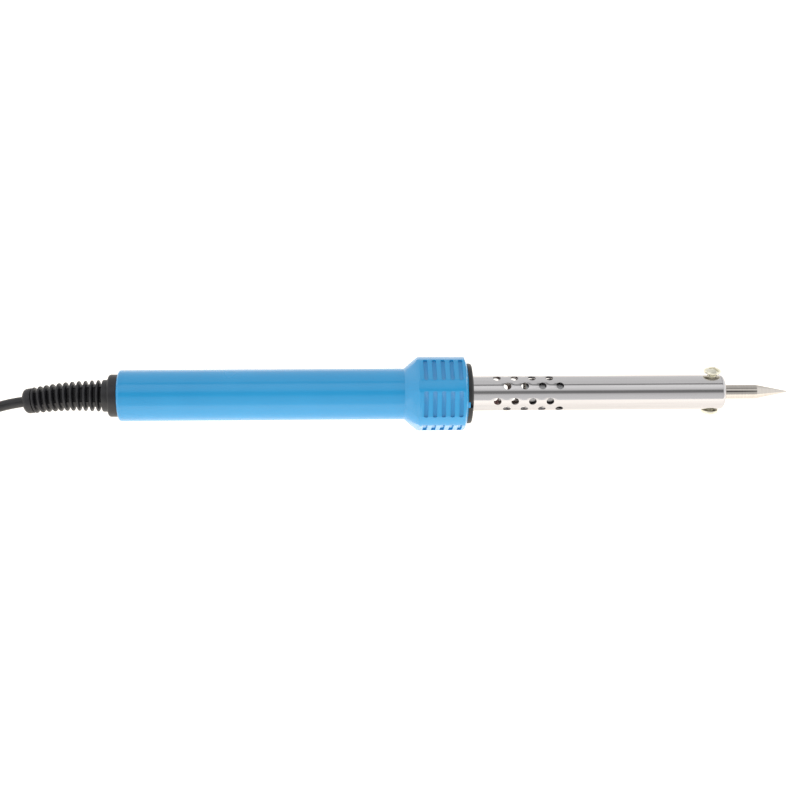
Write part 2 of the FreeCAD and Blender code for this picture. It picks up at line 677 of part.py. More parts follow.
def makeWiring():
    blockFront = s.blockStation + s.blockLength
    blockMiddle = s.blockStation + s.blockLength / 2
    leadRear = blockMiddle + s.wireGap
    sleeveRear = blockFront + s.wireGap
    rods("heater_leads", s.leadRadius, s.leadOffset, leadRear, coreRear)
    sleeveFront = plugInRear - s.leadSleeveGap
    rods("lead_sleeves", s.leadSleeveRadius, s.leadOffset, sleeveRear, sleeveFront, s.leadRadius + s.fixedFit)

    block = newBody("terminal_block")
    sketch = newSketch(block, "BlockProfile", "YZ_Plane", 0.0, s.blockStation)
    rectangle(sketch, -s.blockWidth / 2, s.blockWidth / 2, -s.blockHeight / 2, s.blockHeight / 2)
    for side in (-1, 1):
        circle(sketch, s.leadOffset * side, 0, s.terminalRadius + s.fixedFit)
    pad(block, "BlockPad", sketch, s.blockLength)
    screwSketch = newSketch(block, "BlockScrewProfile", "XY_Plane")
    screwPlaces = [(blockMiddle + s.terminalScrewPitch / 2 * end, s.leadOffset * side)
                   for end in (-1, 1) for side in (-1, 1)]
    for x, y in screwPlaces:
        circle(screwSketch, x, y, s.terminalScrewRadius + s.fixedFit * 3)
    block.Tip = pocket(block, "BlockScrewHoles", screwSketch, s.blockHeight, forward=True)
    onAxis(block, s.leadBearing.number)

    terminals = rods("terminal_tubes", s.terminalRadius, s.leadOffset, terminalRear,
                     terminalRear + s.terminalLength, s.terminalBore)
    tappedSketch = newSketch(terminals, "TerminalScrewProfile", "XY_Plane")
    for x, y in screwPlaces:
        circle(tappedSketch, x, y, s.terminalScrewRadius + s.fixedFit)
    terminals.Tip = pocket(terminals, "TerminalScrewHoles", tappedSketch, s.blockHeight, forward=True)

    # Each screw presses on its wire and ends just under the block's top.
    screws = newBody("terminal_screws")
    screws.AllowCompound = True
    screwFoot = s.coreRadius + s.fixedFit
    screwTop = s.blockHeight / 2 - s.terminalScrewInset
    screwSketch = newSketch(screws, "ScrewsProfile", "XY_Plane", 0.0, screwFoot)
    for x, y in screwPlaces:
        circle(screwSketch, x, y, s.terminalScrewRadius)
    pad(screws, "ScrewsPad", screwSketch, screwTop - screwFoot)
    slotSketch = newSketch(screws, "ScrewSlotProfile", "XY_Plane", 0.0, screwTop)
    for end in (-1, 1):
        middle = blockMiddle + s.terminalScrewPitch / 2 * end
        rectangle(slotSketch, middle - s.driverSlotWidth / 2, middle + s.driverSlotWidth / 2,
                  -s.blockWidth / 2, s.blockWidth / 2)
    screws.Tip = pocket(screws, "ScrewSlots", slotSketch, s.driverSlotDepth)
    onAxis(screws, s.leadBearing.number)


def makeAnchor():
    # Two half round shells grip the cord's jacket, drawn together by two screws.
    end = s.anchorStation + s.anchorLength
    middle = s.anchorStation + s.anchorLength / 2
    outside = cavityRadius - s.fixedFit
    halfSplit = s.anchorSplit / 2
    headSeat = cavityRadius * s.anchorSeatShare
    screwFoot = headSeat * s.anchorFootShare
    for label, side in (("cord_clamp_upper", 1), ("cord_clamp_lower", -1)):
        body = newBody(label)
        turn(body, f"{label}Turned", tube(outside, bootHole, s.anchorStation, end))
        sketch = newSketch(body, f"{label}SplitProfile", "YZ_Plane", 0.0, s.anchorStation - overcut)
        clear = outside + overcut
        rectangle(sketch, -clear, clear, halfSplit * side, -clear * side)
        pocket(body, f"{label}Split", sketch, s.anchorLength + overcut * 2, forward=True)
        holeSketch = newSketch(body, f"{label}HoleProfile", "XY_Plane")
        for offset in (-1, 1):
            circle(holeSketch, middle, s.anchorScrewOffset * offset, s.anchorScrewRadius + s.fixedFit)
        reach = clear if side > 0 else screwFoot
        body.Tip = pocket(body, f"{label}Holes", holeSketch, reach, forward=side > 0)
        if side > 0:
            seatSketch = newSketch(body, f"{label}SeatProfile", "XY_Plane", 0.0, headSeat)
            for offset in (-1, 1):
                circle(seatSketch, middle, s.anchorScrewOffset * offset, s.anchorHeadRadius + s.fixedFit)
            body.Tip = pocket(body, f"{label}Seats", seatSketch, outside, forward=True)
        onAxis(body)

    screws = newBody("cord_clamp_screws")
    screws.AllowCompound = True
    foot = s.fixedFit - screwFoot
    shankSketch = newSketch(screws, "ClampShankProfile", "XY_Plane", 0.0, foot)
    headSketch = newSketch(screws, "ClampHeadProfile", "XY_Plane", 0.0, headSeat)
    for offset in (-1, 1):
        circle(shankSketch, middle, s.anchorScrewOffset * offset, s.anchorScrewRadius)
        circle(headSketch, middle, s.anchorScrewOffset * offset, s.anchorHeadRadius)
    pad(screws, "ClampShanks", shankSketch, headSeat - foot)
    screws.Tip = pad(screws, "ClampHeads", headSketch, s.anchorScrewRadius)
    onAxis(screws)


# ---- boot, cord and plug


def newShape(label, shape):
    # A piece whose shape is made here: its sizes are read from the sheet.
    piece = doc.addObject("Part::Feature", label)
    piece.Label = label
    piece.Shape = shape
    parts.append(piece)
    return piece


def bendPath(points):
    # Straight runs joined by tangent arcs, each as large as its two runs allow.
    edges = []
    start = points[0]
    radii = []
    for before, corner, after in zip(points, points[1:], points[2:]):
        inward = (corner - before).normalize()
        outward = (after - corner).normalize()
        half = inward.getAngle(outward) / 2
        cut = 0.45 * min((corner - before).Length, (after - corner).Length)
        radii.append(cut / math.tan(half))
        enter = corner - inward * cut
        leave = corner + outward * cut
        toCentre = (outward - inward).normalize()
        centre = corner + toCentre * (cut / math.sin(half))
        middle = centre - toCentre * radii[-1]
        edges.append(Part.LineSegment(start, enter).toShape())
        edges.append(Part.Arc(enter, middle, leave).toShape())
        start = leave
    edges.append(Part.LineSegment(start, points[-1]).toShape())
    return Part.Wire(edges), radii


def sweep(path, radius):
    start = path.Edges[0]
    section = Part.Wire([Part.Circle(start.valueAt(start.FirstParameter),
                                     start.tangentAt(start.FirstParameter), radius).toShape()])
    return path.makePipeShell([section], True, True)


def cordTube(label, points, radius):
    path, radii = bendPath(points)
    solid = sweep(path, radius)
    expected = math.pi * radius ** 2 * path.Length
    print(f"{label}: {path.Length:.1f} mm, radii {[round(r, 1) for r in radii]},"
          f" volume {solid.Volume / expected:.4f} of its section times its length")
    return newShape(label, solid)


# The boot's middle line in the tool's own frame: straight, one gentle bend down, then straight.
droop = math.radians(s.bootDroop.number)
bendStart = Vector(-s.bootBendStart.number, 0, 0)
bendRadius = s.bootBendLength.number / math.sin(droop)
bendEnd = bendStart + Vector(-s.bootBendLength.number, 0, -bendRadius * (1 - math.cos(droop)))
outDirection = Vector(-math.cos(droop), 0, -math.sin(droop))
bootTail = bendEnd + outDirection * ((bootEnd.number + bendEnd.x) / math.cos(droop))


def onBootLine(reach):
    # Point and direction of the boot's middle line, this far behind the flange along the line.
    straight = s.bootBendStart.number
    if reach <= straight:
        return Vector(-reach, 0, 0), Vector(-1, 0, 0)
    if reach < straight + bendRadius * droop:
        angle = (reach - straight) / bendRadius
        drop = Vector(-bendRadius * math.sin(angle), 0, -bendRadius * (1 - math.cos(angle)))
        return bendStart + drop, Vector(-math.cos(angle), 0, -math.sin(angle))
    return bendEnd + outDirection * (reach - straight - bendRadius * droop), outDirection


def bootPath(front):
    # The boot's middle line as a wire, from a station in front of the flange to the boot's end.
    halfAngle = droop / 2
    sagitta = bendRadius * (1 - math.cos(halfAngle))
    halfway = bendStart + Vector(-bendRadius * math.sin(halfAngle), 0, -sagitta)
    return Part.Wire([
        Part.LineSegment(Vector(front, 0, 0), bendStart).toShape(),
        Part.Arc(bendStart, halfway, bendEnd).toShape(),
        Part.LineSegment(bendEnd, bootTail).toShape(),
    ])


bootLine = s.bootBendStart.number + bendRadius * droop + (bootTail - bendEnd).Length


def makeBoot():
    ribCount = int(s.bootRibCount.number)
    ribbed = bootLine - s.bootCollar.number - s.bootEndCollar.number
    pitch = ribbed / ribCount
    gap = pitch - s.bootRib.number

    def ribRadius(reach):
        along = reach / bootLine
        return s.bootRootRadius.number + (s.bootEndRadius.number - s.bootRootRadius.number) * along

    def disc(start, length, radius):
        place, direction = onBootLine(start)
        return Part.makeCylinder(radius, length, place, direction)

    # Flange, neck and lip, on the straight part of the line.
    neckEnd = (handleRear + s.handleRearWall + s.fixedFit).number
    lipRadius = (s.bootNeckRadius + s.bootLipStep).number
    flange = Part.makeCylinder(s.bootFlangeRadius.number, s.bootFlange.number, Vector(), Vector(1, 0, 0))
    rearEdges = [edge for edge in flange.Edges if edge.BoundBox.XMax < tiny]
    flange = flange.makeFillet(s.bootFlangeRounding.number, rearEdges)
    neck = Part.makeCylinder(s.bootNeckRadius.number, neckEnd, Vector(), Vector(1, 0, 0))
    lip = Part.makeCylinder(lipRadius, s.bootLip.number, Vector(neckEnd, 0, 0), Vector(1, 0, 0))

    # The core is a loft that follows the bend and tapers with the ribs.
    sections = []
    for index in range(ribCount + 1):
        reach = bootLine * index / ribCount
        place, direction = onBootLine(reach)
        radius = ribRadius(reach) - s.bootRibHeight.number
        sections.append(Part.Wire([Part.Circle(place, direction, radius).toShape()]))
    core = Part.makeLoft(sections, True)

    solids = [neck, lip, core, disc(0, s.bootCollar.number, s.bootRootRadius.number)]
    gaps = []
    start = s.bootCollar.number
    for index in range(ribCount):
        gaps.append((start, gap))
        solids.append(disc(start + gap, pitch - gap, ribRadius(start + pitch / 2)))
        start += pitch
    endCollar = disc(start, s.bootEndCollar.number, s.bootEndRadius.number)
    endEdges = [edge for edge in endCollar.Edges if edge.CenterOfMass.distanceToPoint(bootTail) < tiny]
    solids.append(endCollar.makeFillet(s.bootEndRounding.number, endEdges))
    boot = flange.multiFuse(solids)

    # The cord's hole, and the slots round every gap between ribs.
    cutters = [sweep(bootPath(neckEnd + s.bootLip.number + overcut), bootHole.number)]
    slotCount = int(s.bootSlotCount.number)
    deep = s.bootRootRadius.number
    for start, length in gaps:
        place, direction = onBootLine(start)
        half = ribRadius(start) * s.bootSlotShare.number
        for row in range(slotCount):
            bearing = math.radians(s.bootSlotBearing.number + 360 / slotCount * row)
            outward = Vector(0, -math.cos(bearing), math.sin(bearing))
            outward = (outward - direction * outward.dot(direction)).normalize()
            across = direction.cross(outward)
            foot = place + outward * s.bootSlotFloor.number - across * half
            corners = [foot, foot + across * half * 2, foot + across * half * 2 + outward * deep]
            corners += [foot + outward * deep, foot]
            cutters.append(Part.Face(Part.makePolygon(corners)).extrude(direction * length))
    boot = boot.cut(cutters)
    onAxis(newShape("strain_relief_boot", boot.removeSplitter()))

    inner = sweep(bootPath(s.jacketStation.number), s.cordRadius.number)
    onAxis(newShape("cord_inner", inner))


def makeCores():
    # The two cores fan out from the jacket's end to their terminals.
    spread = s.coreRadius.number + s.fixedFit.number
    offset = s.leadOffset.number
    start = s.jacketStation.number
    end = (s.blockStation + s.blockLength / 2 - s.wireGap).number
    fan = (s.blockStation.number - start) / 3
    for label, side in (("live_core", -1), ("neutral_core", 1)):
        points = [
            Vector(start, side * spread, 0),
            Vector(start + fan, side * spread, 0),
            Vector(start + fan * 2, side * offset, 0),
            Vector(end, side * offset, 0),
        ]
        onAxis(cordTube(label, points, s.coreRadius.number), s.leadBearing.number)


def worldStation(reach, side, height):
    # A point behind the flange in the bench's frame.
    return Vector(-toolMiddle.number - reach, side, height)


strandPitch = s.cordRadius.number * 2
hankHeight = strandPitch * s.hankLayers.number + cordBottom.number
hankMiddle = s.hankStart.number + s.hankLength.number / 2
outerStrand = s.hankSide.number - s.hankEndRadius.number + s.cordRadius.number
waistHalf = strandPitch * s.hankColumns.number
plugHeight = s.plugThickness.number / 2

# Points of the free cord: distance behind the flange, side, and height over the bench.
leadFirstRun = 6.0
leadPoints = [(43.5, -1.7, 5.9), (53.0, -4.0, 3.6), (63.0, -6.7, 2.1), (74.0, -9.2, 1.8)]
leadEnd = 84.0
tailStart = 136.0
tailPoints = [(147.0, -9.7, 13.2), (157.5, -6.0, 10.9), (166.5, -0.8, 8.3)]
tailLastRun = 8.0


def makeCord():
    # The lead falls from the boot to the bench and swings over to the hank's outer strand.
    exitPoint = worldStation(0, 0, s.gripFlat.number) + bootTail
    lead = [exitPoint, exitPoint + outDirection * leadFirstRun]
    lead += [worldStation(*point) for point in leadPoints]
    lead.append(worldStation(leadEnd, outerStrand, s.cordRadius.number))
    cordTube("cord_lead", lead, s.cordRadius.number)

    # Outline of the hank: two round ends, drawn in to a waist under the tie.
    endRadius = s.hankEndRadius.number
    reach = s.hankLength.number / 2 - endRadius
    halfTie = (s.tieWidth / 2 + s.waistMargin).number
    toWaist = Vector(halfTie - reach, waistHalf, 0)
    lean = math.acos(endRadius / toWaist.Length)
    tangentAngle = math.atan2(toWaist.y, toWaist.x) - lean
    touch = Vector(endRadius * math.cos(tangentAngle), endRadius * math.sin(tangentAngle), 0)
    touch.x += reach
    corners = {}
    for end in (-1, 1):
        for side in (-1, 1):
            corners[end, side] = (Vector(halfTie * end, waistHalf * side, 0),
                                  Vector(touch.x * end, touch.y * side, 0))
    edges = []
    for end, side in ((1, 1), (1, -1), (-1, -1), (-1, 1)):
        edges.append(Part.LineSegment(*corners[end, side]).toShape())
    for end in (-1, 1):
        farthest = Vector((reach + endRadius) * end, 0, 0)
        edges.append(Part.Arc(corners[end, 1][1], farthest, corners[end, -1][1]).toShape())
    for side in (-1, 1):
        edges.append(Part.LineSegment(corners[-1, side][0], corners[1, side][0]).toShape())
    face = Part.Face(Part.Wire(Part.__sortEdges__(edges)))
    hank = face.extrude(Vector(0, 0, hankHeight))
    groove = s.tieWidth.number + s.fixedFit.number * 2
    channel = Part.makeBox(groove, waistHalf * 4, cordBottom.number, Vector(-groove / 2, -waistHalf * 2, 0))
    piece = newShape("cord_hank", hank.cut(channel))
    piece.Placement = Placement(worldStation(hankMiddle, s.hankSide.number, 0), Rotation())

    # The tail leaves the hank's top layer and comes down to the plug.
    tail = [worldStation(tailStart, outerStrand, hankHeight - s.cordRadius.number)]
    tail += [worldStation(*point) for point in tailPoints]
    plugStart = s.plugStart.number
    for reach in (plugStart - tailLastRun, plugStart):
        tail.append(worldStation(reach, s.plugSide.number, plugHeight))
    cordTube("cord_tail", tail, s.cordRadius.number)


def makeTie():
    body = newBody("cord_tie")
    sketch = newSketch(body, "TieProfile", "YZ_Plane", 0.0, -s.tieWidth / 2)
    inside = s.cordRadius * 2 * s.hankColumns + s.fixedFit
    bottom = s.tieThickness
    top = s.cordRadius * 2 * s.hankLayers + s.tieThickness + s.fixedFit
    rectangle(sketch, -(inside + s.tieThickness), inside + s.tieThickness, bottom - s.tieThickness,
              top + s.tieThickness)
    rectangle(sketch, -inside, inside, bottom, top)
    pad(body, "TiePad", sketch, s.tieWidth)
    place = worldStation(hankMiddle, s.hankSide.number, 0)
    body.Placement = Placement(place, Rotation())
    body.setExpression("Placement.Base.x", (-toolMiddle - s.hankStart - s.hankLength / 2).text)
    body.setExpression("Placement.Base.y", s.hankSide.text)


def seatPlug(body):
    # The plug is drawn about its own axis, with its pins along -X, and lies flat on the bench.
    body.Placement = Placement(worldStation(s.plugStart.number, s.plugSide.number, plugHeight), Rotation())
    body.setExpression("Placement.Base.x", (-toolMiddle - s.plugStart).text)
    body.setExpression("Placement.Base.y", s.plugSide.text)
    body.setExpression("Placement.Base.z", (s.plugThickness / 2).text)


def makePlug():
    relief = newBody("plug_relief")
    turn(relief, "ReliefTurned", [(0, 0), (0, s.plugReliefTip), (-s.plugReliefLength, s.plugReliefRadius),
                                  (-s.plugReliefLength, 0)])
    seatPlug(relief)

    bodyRear = -s.plugReliefLength
    bodyFront = bodyRear - s.plugLength
    casing = newBody("plug_body")
    sketch = newSketch(casing, "PlugProfile", "XY_Plane")
    outline(sketch, [
        (bodyRear, -s.plugShoulder / 2),
        (bodyRear, s.plugShoulder / 2),
        (bodyRear - s.plugShoulderLength, s.plugWidth / 2),
        (bodyFront, s.plugWidth / 2),
        (bodyFront, -s.plugWidth / 2),
        (bodyRear - s.plugShoulderLength, -s.plugWidth / 2),
    ])
    block = pad(casing, "PlugPad", sketch, s.plugThickness, symmetric=True)
    faceX = bodyFront.number
    rounded = roundEdges(casing, "PlugRounding", block, s.plugEdge,
                         lambda edge: edge.BoundBox.XMax > faceX + tiny)
    casing.Tip = rounded
    holeSketch = newSketch(casing, "PinHoleProfile", "YZ_Plane", 0.0, bodyFront)
    for side in (-1, 1):
        circle(holeSketch, s.pinSpacing / 2 * side, 0, s.pinNeckRadius + s.fixedFit)
    casing.Tip = pocket(casing, "PinHoles", holeSketch, s.pinRoot + s.fixedFit, forward=True)
    seatPlug(casing)

    pins = newBody("plug_pins")
    pins.AllowCompound = True
    sleeves = newBody("pin_sleeves")
    sleeves.AllowCompound = True
    neckSketch = newSketch(pins, "NeckProfile", "YZ_Plane", 0.0, bodyFront - s.pinSleeveLength)
    endSketch = newSketch(pins, "BareEndProfile", "YZ_Plane", 0.0, bodyFront - s.pinLength)
    sleeveSketch = newSketch(sleeves, "SleeveProfile", "YZ_Plane", 0.0, bodyFront - s.pinSleeveLength)
    for side in (-1, 1):
        offset = s.pinSpacing / 2 * side
        circle(neckSketch, offset, 0, s.pinNeckRadius)
        circle(endSketch, offset, 0, s.pinRadius)
        circle(sleeveSketch, offset, 0, s.pinSleeveRadius)
        circle(sleeveSketch, offset, 0, s.pinNeckRadius + s.fixedFit)
    pad(pins, "Necks", neckSketch, s.pinSleeveLength + s.pinRoot)
    ends = pad(pins, "BareEnds", endSketch, s.pinLength - s.pinSleeveLength)
    pinFront = (bodyFront - s.pinLength).number
    pins.Tip = roundEdges(pins, "PinRounding", ends, s.pinRadius / 2,
                          lambda edge: edge.BoundBox.XMax < pinFront + tiny)
    pad(sleeves, "Sleeves", sleeveSketch, s.pinSleeveLength)
    seatPlug(pins)
    seatPlug(sleeves)


makeHandle()
makeRing()
makeBarrel()
makeFlange()
makeTip()
makeClampBush()
makeClampScrew("upper_screw", s.screwBearing.number, s.upperScrewLift)
makeClampScrew("lower_screw", s.screwBearing.number - 180, s.lowerScrewLift)
makeHeater()
makeWiring()
makeAnchor()
makeBoot()
makeCores()
makeCord()
makeTie()
makePlug()
doc.recompute()

for item in doc.Objects:
    if "Invalid" in item.State or "Error" in item.State:
        raise RuntimeError(f"{item.Label} failed: {item.State}")
for piece in parts:
    if piece.Shape.isNull() or not piece.Shape.isValid() or piece.Shape.Volume <= 0:
        raise RuntimeError(f"{piece.Label} has no good shape")

os.makedirs("parts", exist_ok=True)
for piece in parts:
    piece.Shape.exportStep(os.path.join("parts", f"{piece.Label}.step"))
    box = piece.Shape.BoundBox
    spans = [f"{low:.2f}..{high:.2f}" for low, high in
             ((box.XMin, box.XMax), (box.YMin, box.YMax), (box.ZMin, box.ZMax))]
    print(f"{piece.Label}: {len(piece.Shape.Solids)} solids, {piece.Shape.Volume:.1f} mm3", *spans)
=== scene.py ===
import bmesh
import bpy
import math
from mathutils import Matrix, Vector


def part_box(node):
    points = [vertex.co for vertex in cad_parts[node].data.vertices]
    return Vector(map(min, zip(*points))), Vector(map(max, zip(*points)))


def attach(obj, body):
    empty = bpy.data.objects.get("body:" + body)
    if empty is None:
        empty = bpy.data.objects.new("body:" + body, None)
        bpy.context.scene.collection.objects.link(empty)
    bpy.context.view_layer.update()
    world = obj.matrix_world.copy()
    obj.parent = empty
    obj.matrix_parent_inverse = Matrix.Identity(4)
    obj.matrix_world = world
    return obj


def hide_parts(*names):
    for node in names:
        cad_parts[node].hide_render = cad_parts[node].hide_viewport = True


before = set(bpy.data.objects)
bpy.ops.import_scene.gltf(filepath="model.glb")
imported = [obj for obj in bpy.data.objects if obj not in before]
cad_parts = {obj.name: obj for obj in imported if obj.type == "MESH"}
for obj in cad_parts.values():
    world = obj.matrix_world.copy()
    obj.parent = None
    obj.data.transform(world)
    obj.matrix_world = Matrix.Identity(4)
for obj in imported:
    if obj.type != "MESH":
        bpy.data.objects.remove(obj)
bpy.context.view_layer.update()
print("stage: frame loaded")

mm = 0.001
floorZ = 0.0
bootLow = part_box("strain_relief_boot")[0]
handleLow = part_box("handle_shell")[0]
barrelLow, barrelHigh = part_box("barrel")
tipLow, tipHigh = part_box("tip")
plugLow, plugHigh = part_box("plug_body")
axisZ = (barrelLow.z + barrelHigh.z) / 2
bootFlangeThickness = 3.4
# Gap on the radius between pieces that are pressed together, in millimetres.
fixedFit = 0.05
# Stations along the tool are millimetres in front of the boot flange's rear face.
stationZero = handleLow.x - bootFlangeThickness * mm
toolPlace = Matrix.Translation((stationZero, 0, axisZ)) @ Matrix.Scale(mm, 4)


def toStation(x):
    return (x - stationZero) / mm


def onTool(station, across=0.0, up=0.0):
    # A point in the frame from a station and millimetres beside and over the tool's axis.
    return Vector((stationZero + station * mm, across * mm, axisZ + up * mm))


# ---- camera

cameraSet = {"azimuth": -4.0, "elevation": 48.0, "roll": 2.6, "distance": 484.0, "lens": 63.6,
             "station": 98.8, "below": 2.1}


def makeCamera(look):
    azimuth, elevation = math.radians(look["azimuth"]), math.radians(look["elevation"])
    back = Vector((math.sin(azimuth) * math.cos(elevation), -math.cos(azimuth) * math.cos(elevation),
                   math.sin(elevation)))
    turn = (-back).to_track_quat("-Z", "Y").to_matrix().to_4x4()
    turn = turn @ Matrix.Rotation(math.radians(look["roll"]), 4, "Z")
    upward = turn.col[1].to_3d()
    target = onTool(look["station"]) - upward * look["below"] * mm
    data = bpy.data.cameras.new("camera")
    data.lens = look["lens"]
    data.sensor_width = 36
    data.clip_start, data.clip_end = 0.01, 20
    camera = bpy.data.objects.new("camera", data)
    bpy.context.scene.collection.objects.link(camera)
    camera.matrix_world = Matrix.Translation(target + back * look["distance"] * mm) @ turn
    bpy.context.scene.camera = camera


makeCamera(cameraSet)
print("stage: camera")

# ---- materials


def hexColor(text):
    channels = [int(text[i:i + 2], 16) / 255 for i in (1, 3, 5)]
    return tuple(c / 12.92 if c <= 0.04045 else ((c + 0.055) / 1.055) ** 2.4 for c in channels) + (1.0,)


def addNode(tree, kind, inputs=None, **settings):
    made = tree.nodes.new(kind)
    for key, value in settings.items():
        setattr(made, key, value)
    for socket, value in (inputs or {}).items():
        if isinstance(value, bpy.types.NodeSocket):
            tree.links.new(value, made.inputs[socket])
        else:
            made.inputs[socket].default_value = value
    return made


def startMaterial(name):
    material = bpy.data.materials.new(name)
    material.use_nodes = True
    tree = material.node_tree
    shader = tree.nodes["Principled BSDF"]
    place = addNode(tree, "ShaderNodeTexCoord").outputs["Object"]
    return material, tree, shader, place


def grain(tree, place, size, stretch=(1, 1, 1), detail=2.0, roughness=0.5):
    # Noise whose features are about this many millimetres, drawn out along an axis by the stretch.
    mapping = addNode(tree, "ShaderNodeMapping", {"Vector": place, "Scale": stretch})
    noise = addNode(tree, "ShaderNodeTexNoise", {"Vector": mapping.outputs["Vector"], "Detail": detail,
                                                 "Scale": 1 / (size * mm), "Roughness": roughness})
    return noise.outputs["Fac"]


def between(tree, factor, low, high, fromLow=0.3, fromHigh=0.7):
    made = addNode(tree, "ShaderNodeMapRange", {"Value": factor, "From Min": fromLow, "From Max": fromHigh,
                                                "To Min": low, "To Max": high})
    return made.outputs["Result"]


def surface(name, colors, roughness, metallic=0.0, patchSize=8.0, bumpSize=0.4, bumpDepth=0.004,
            stretch=(1, 1, 1), **more):
    # A finish whose colour and gloss drift in patches, over a fine relief, all sizes in millimetres.
    material, tree, shader, place = startMaterial(name)
    patches = grain(tree, place, patchSize, stretch)
    mix = addNode(tree, "ShaderNodeMix", data_type="RGBA")
    tree.links.new(between(tree, patches, 0, 1), mix.inputs[0])
    mix.inputs[6].default_value = hexColor(colors[0])
    mix.inputs[7].default_value = hexColor(colors[1])
    tree.links.new(mix.outputs[2], shader.inputs["Base Color"])
    tree.links.new(between(tree, patches, *roughness), shader.inputs["Roughness"])
    relief = grain(tree, place, bumpSize, stretch, 3.0)
    bump = addNode(tree, "ShaderNodeBump", {"Height": relief, "Distance": bumpDepth * mm, "Strength": 1.0})
    tree.links.new(bump.outputs["Normal"], shader.inputs["Normal"])
    shader.inputs["Metallic"].default_value = metallic
    for socket, value in more.items():
        shader.inputs[socket.replace("_", " ")].default_value = value
    return material


# Polypropylene, injection moulded in a polished tool: glossy, with a faint orange peel.
bluePlastic = surface("mouldedBluePolypropylene", ("#1b99d5", "#219fdb"), (0.22, 0.28), patchSize=22,
                      bumpSize=1.6, bumpDepth=0.004, IOR=1.49, Coat_Weight=0.6, Coat_Roughness=0.12)
# Phenolic resin, compression moulded: black satin with a trace of filler.
blackPhenolic = surface("mouldedBlackPhenolic", ("#1b1b1d", "#252527"), (0.38, 0.48), patchSize=2.5,
                        bumpSize=0.3, bumpDepth=0.004)
# Stainless tube, drawn and buffed: fine lines along its length.
drawnStainless = surface("drawnStainlessTube", ("#c4c2c3", "#cbc9ca"), (0.08, 0.12), 1.0, patchSize=1.2,
                         bumpSize=0.25, bumpDepth=0.0012, stretch=(0.03, 1, 1))
# Steel plated bar, turned and buffed.
platedTip = surface("platedTipBar", ("#cac4bd", "#d2ccc5"), (0.03, 0.05), 1.0, patchSize=0.8,
                    bumpSize=0.2, bumpDepth=0.0015, stretch=(2.0, 0.2, 0.2))
turnedSteel = surface("turnedSteel", ("#8d8d8f", "#a3a3a4"), (0.3, 0.42), 1.0, patchSize=0.8,
                      bumpSize=0.25, bumpDepth=0.003, stretch=(3.0, 0.3, 0.3))
# Zinc plate with a pale yellow passivation.
yellowZinc = surface("yellowZincPlate", ("#dcd9c6", "#e9e6d8"), (0.26, 0.4), 1.0, patchSize=0.7,
                     bumpSize=0.15, bumpDepth=0.004)
# Soft PVC, moulded in a matt tool.
softPvc = surface("mouldedSoftPvc", ("#19191c", "#232327"), (0.36, 0.48), patchSize=3,
                  bumpSize=0.25, bumpDepth=0.006)
# PVC jacket, extruded: a little glossier, with slow waves along it.
cordPvc = surface("extrudedPvcJacket", ("#1b1b1e", "#242427"), (0.26, 0.36), patchSize=5,
                  bumpSize=1.2, bumpDepth=0.008)
alumina = surface("firedAlumina", ("#ded8cb", "#eae6dc"), (0.6, 0.75), patchSize=1.5)
nichrome = surface("drawnNichrome", ("#5b504a", "#76675c"), (0.35, 0.5), 1.0, patchSize=0.8)
mica = surface("splitMica", ("#a7977a", "#c2b596"), (0.2, 0.4), patchSize=2.0)
fibreSleeve = surface("varnishedGlassBraid", ("#a67d7c", "#bb9391"), (0.5, 0.65), patchSize=0.6,
                      bumpSize=0.35, bumpDepth=0.03)
whiteNylon = surface("mouldedWhiteNylon", ("#dcdcd4", "#e6e6df"), (0.35, 0.45), patchSize=4)
turnedBrass = surface("turnedBrass", ("#b98f43", "#cda65a"), (0.25, 0.35), 1.0, patchSize=0.8)
brownPvc = surface("extrudedBrownPvc", ("#54301b", "#603821"), (0.35, 0.45), patchSize=4)
bluePvc = surface("extrudedBluePvc", ("#1f4f9a", "#285aa8"), (0.35, 0.45), patchSize=4)
nickelPlate = surface("brightNickelPlate", ("#cfccc5", "#dbd9d3"), (0.14, 0.24), 1.0, patchSize=1.0)
pinPlastic = surface("mouldedPinSleeve", ("#19191a", "#212122"), (0.4, 0.5), patchSize=2)
# Hook and loop strap: woven nylon with a short nap.
strapNylon = surface("hookAndLoopNylon", ("#161617", "#2a2a2c"), (0.8, 0.95), patchSize=0.4,
                     bumpSize=0.3, bumpDepth=0.12, Sheen_Weight=0.4)
print("stage: materials")

# ---- mesh helpers


def arc(x, radius, size, start, end, steps=8):
    # Points of a rounding in a profile, about (x, radius), from one angle to another.
    turns = [math.radians(start + (end - start) * i / steps) for i in range(steps + 1)]
    return [(x + size * math.cos(t), radius + size * math.sin(t)) for t in turns]


def spun(profile, steps=128, closed=True):
    # Turns a profile of (station, radius) points about the X axis.
    bm = bmesh.new()
    verts = [bm.verts.new((x, 0, radius)) for x, radius in profile]
    edges = [bm.edges.new(pair) for pair in zip(verts, verts[1:])]
    if closed:
        edges.append(bm.edges.new((verts[-1], verts[0])))
    bmesh.ops.spin(bm, geom=verts + edges, cent=(0, 0, 0), axis=(1, 0, 0), angle=math.tau, steps=steps,
                   use_merge=True)
    bmesh.ops.remove_doubles(bm, verts=bm.verts, dist=1e-4)
    bmesh.ops.recalc_face_normals(bm, faces=bm.faces)
    return bm


def bearingTurn(bearing):
    # Turn about X that carries +Z to a bearing, where 0 faces -Y and 90 faces up.
    return Matrix.Rotation(math.radians(90 - bearing), 4, "X")


def addBlock(bm, low, high, turn=Matrix()):
    low, high = Vector(low), Vector(high)
    middle, size = (low + high) / 2, high - low
    place = turn @ Matrix.Translation(middle) @ Matrix.Diagonal((*size, 1))
    bmesh.ops.create_cube(bm, size=1, matrix=place)


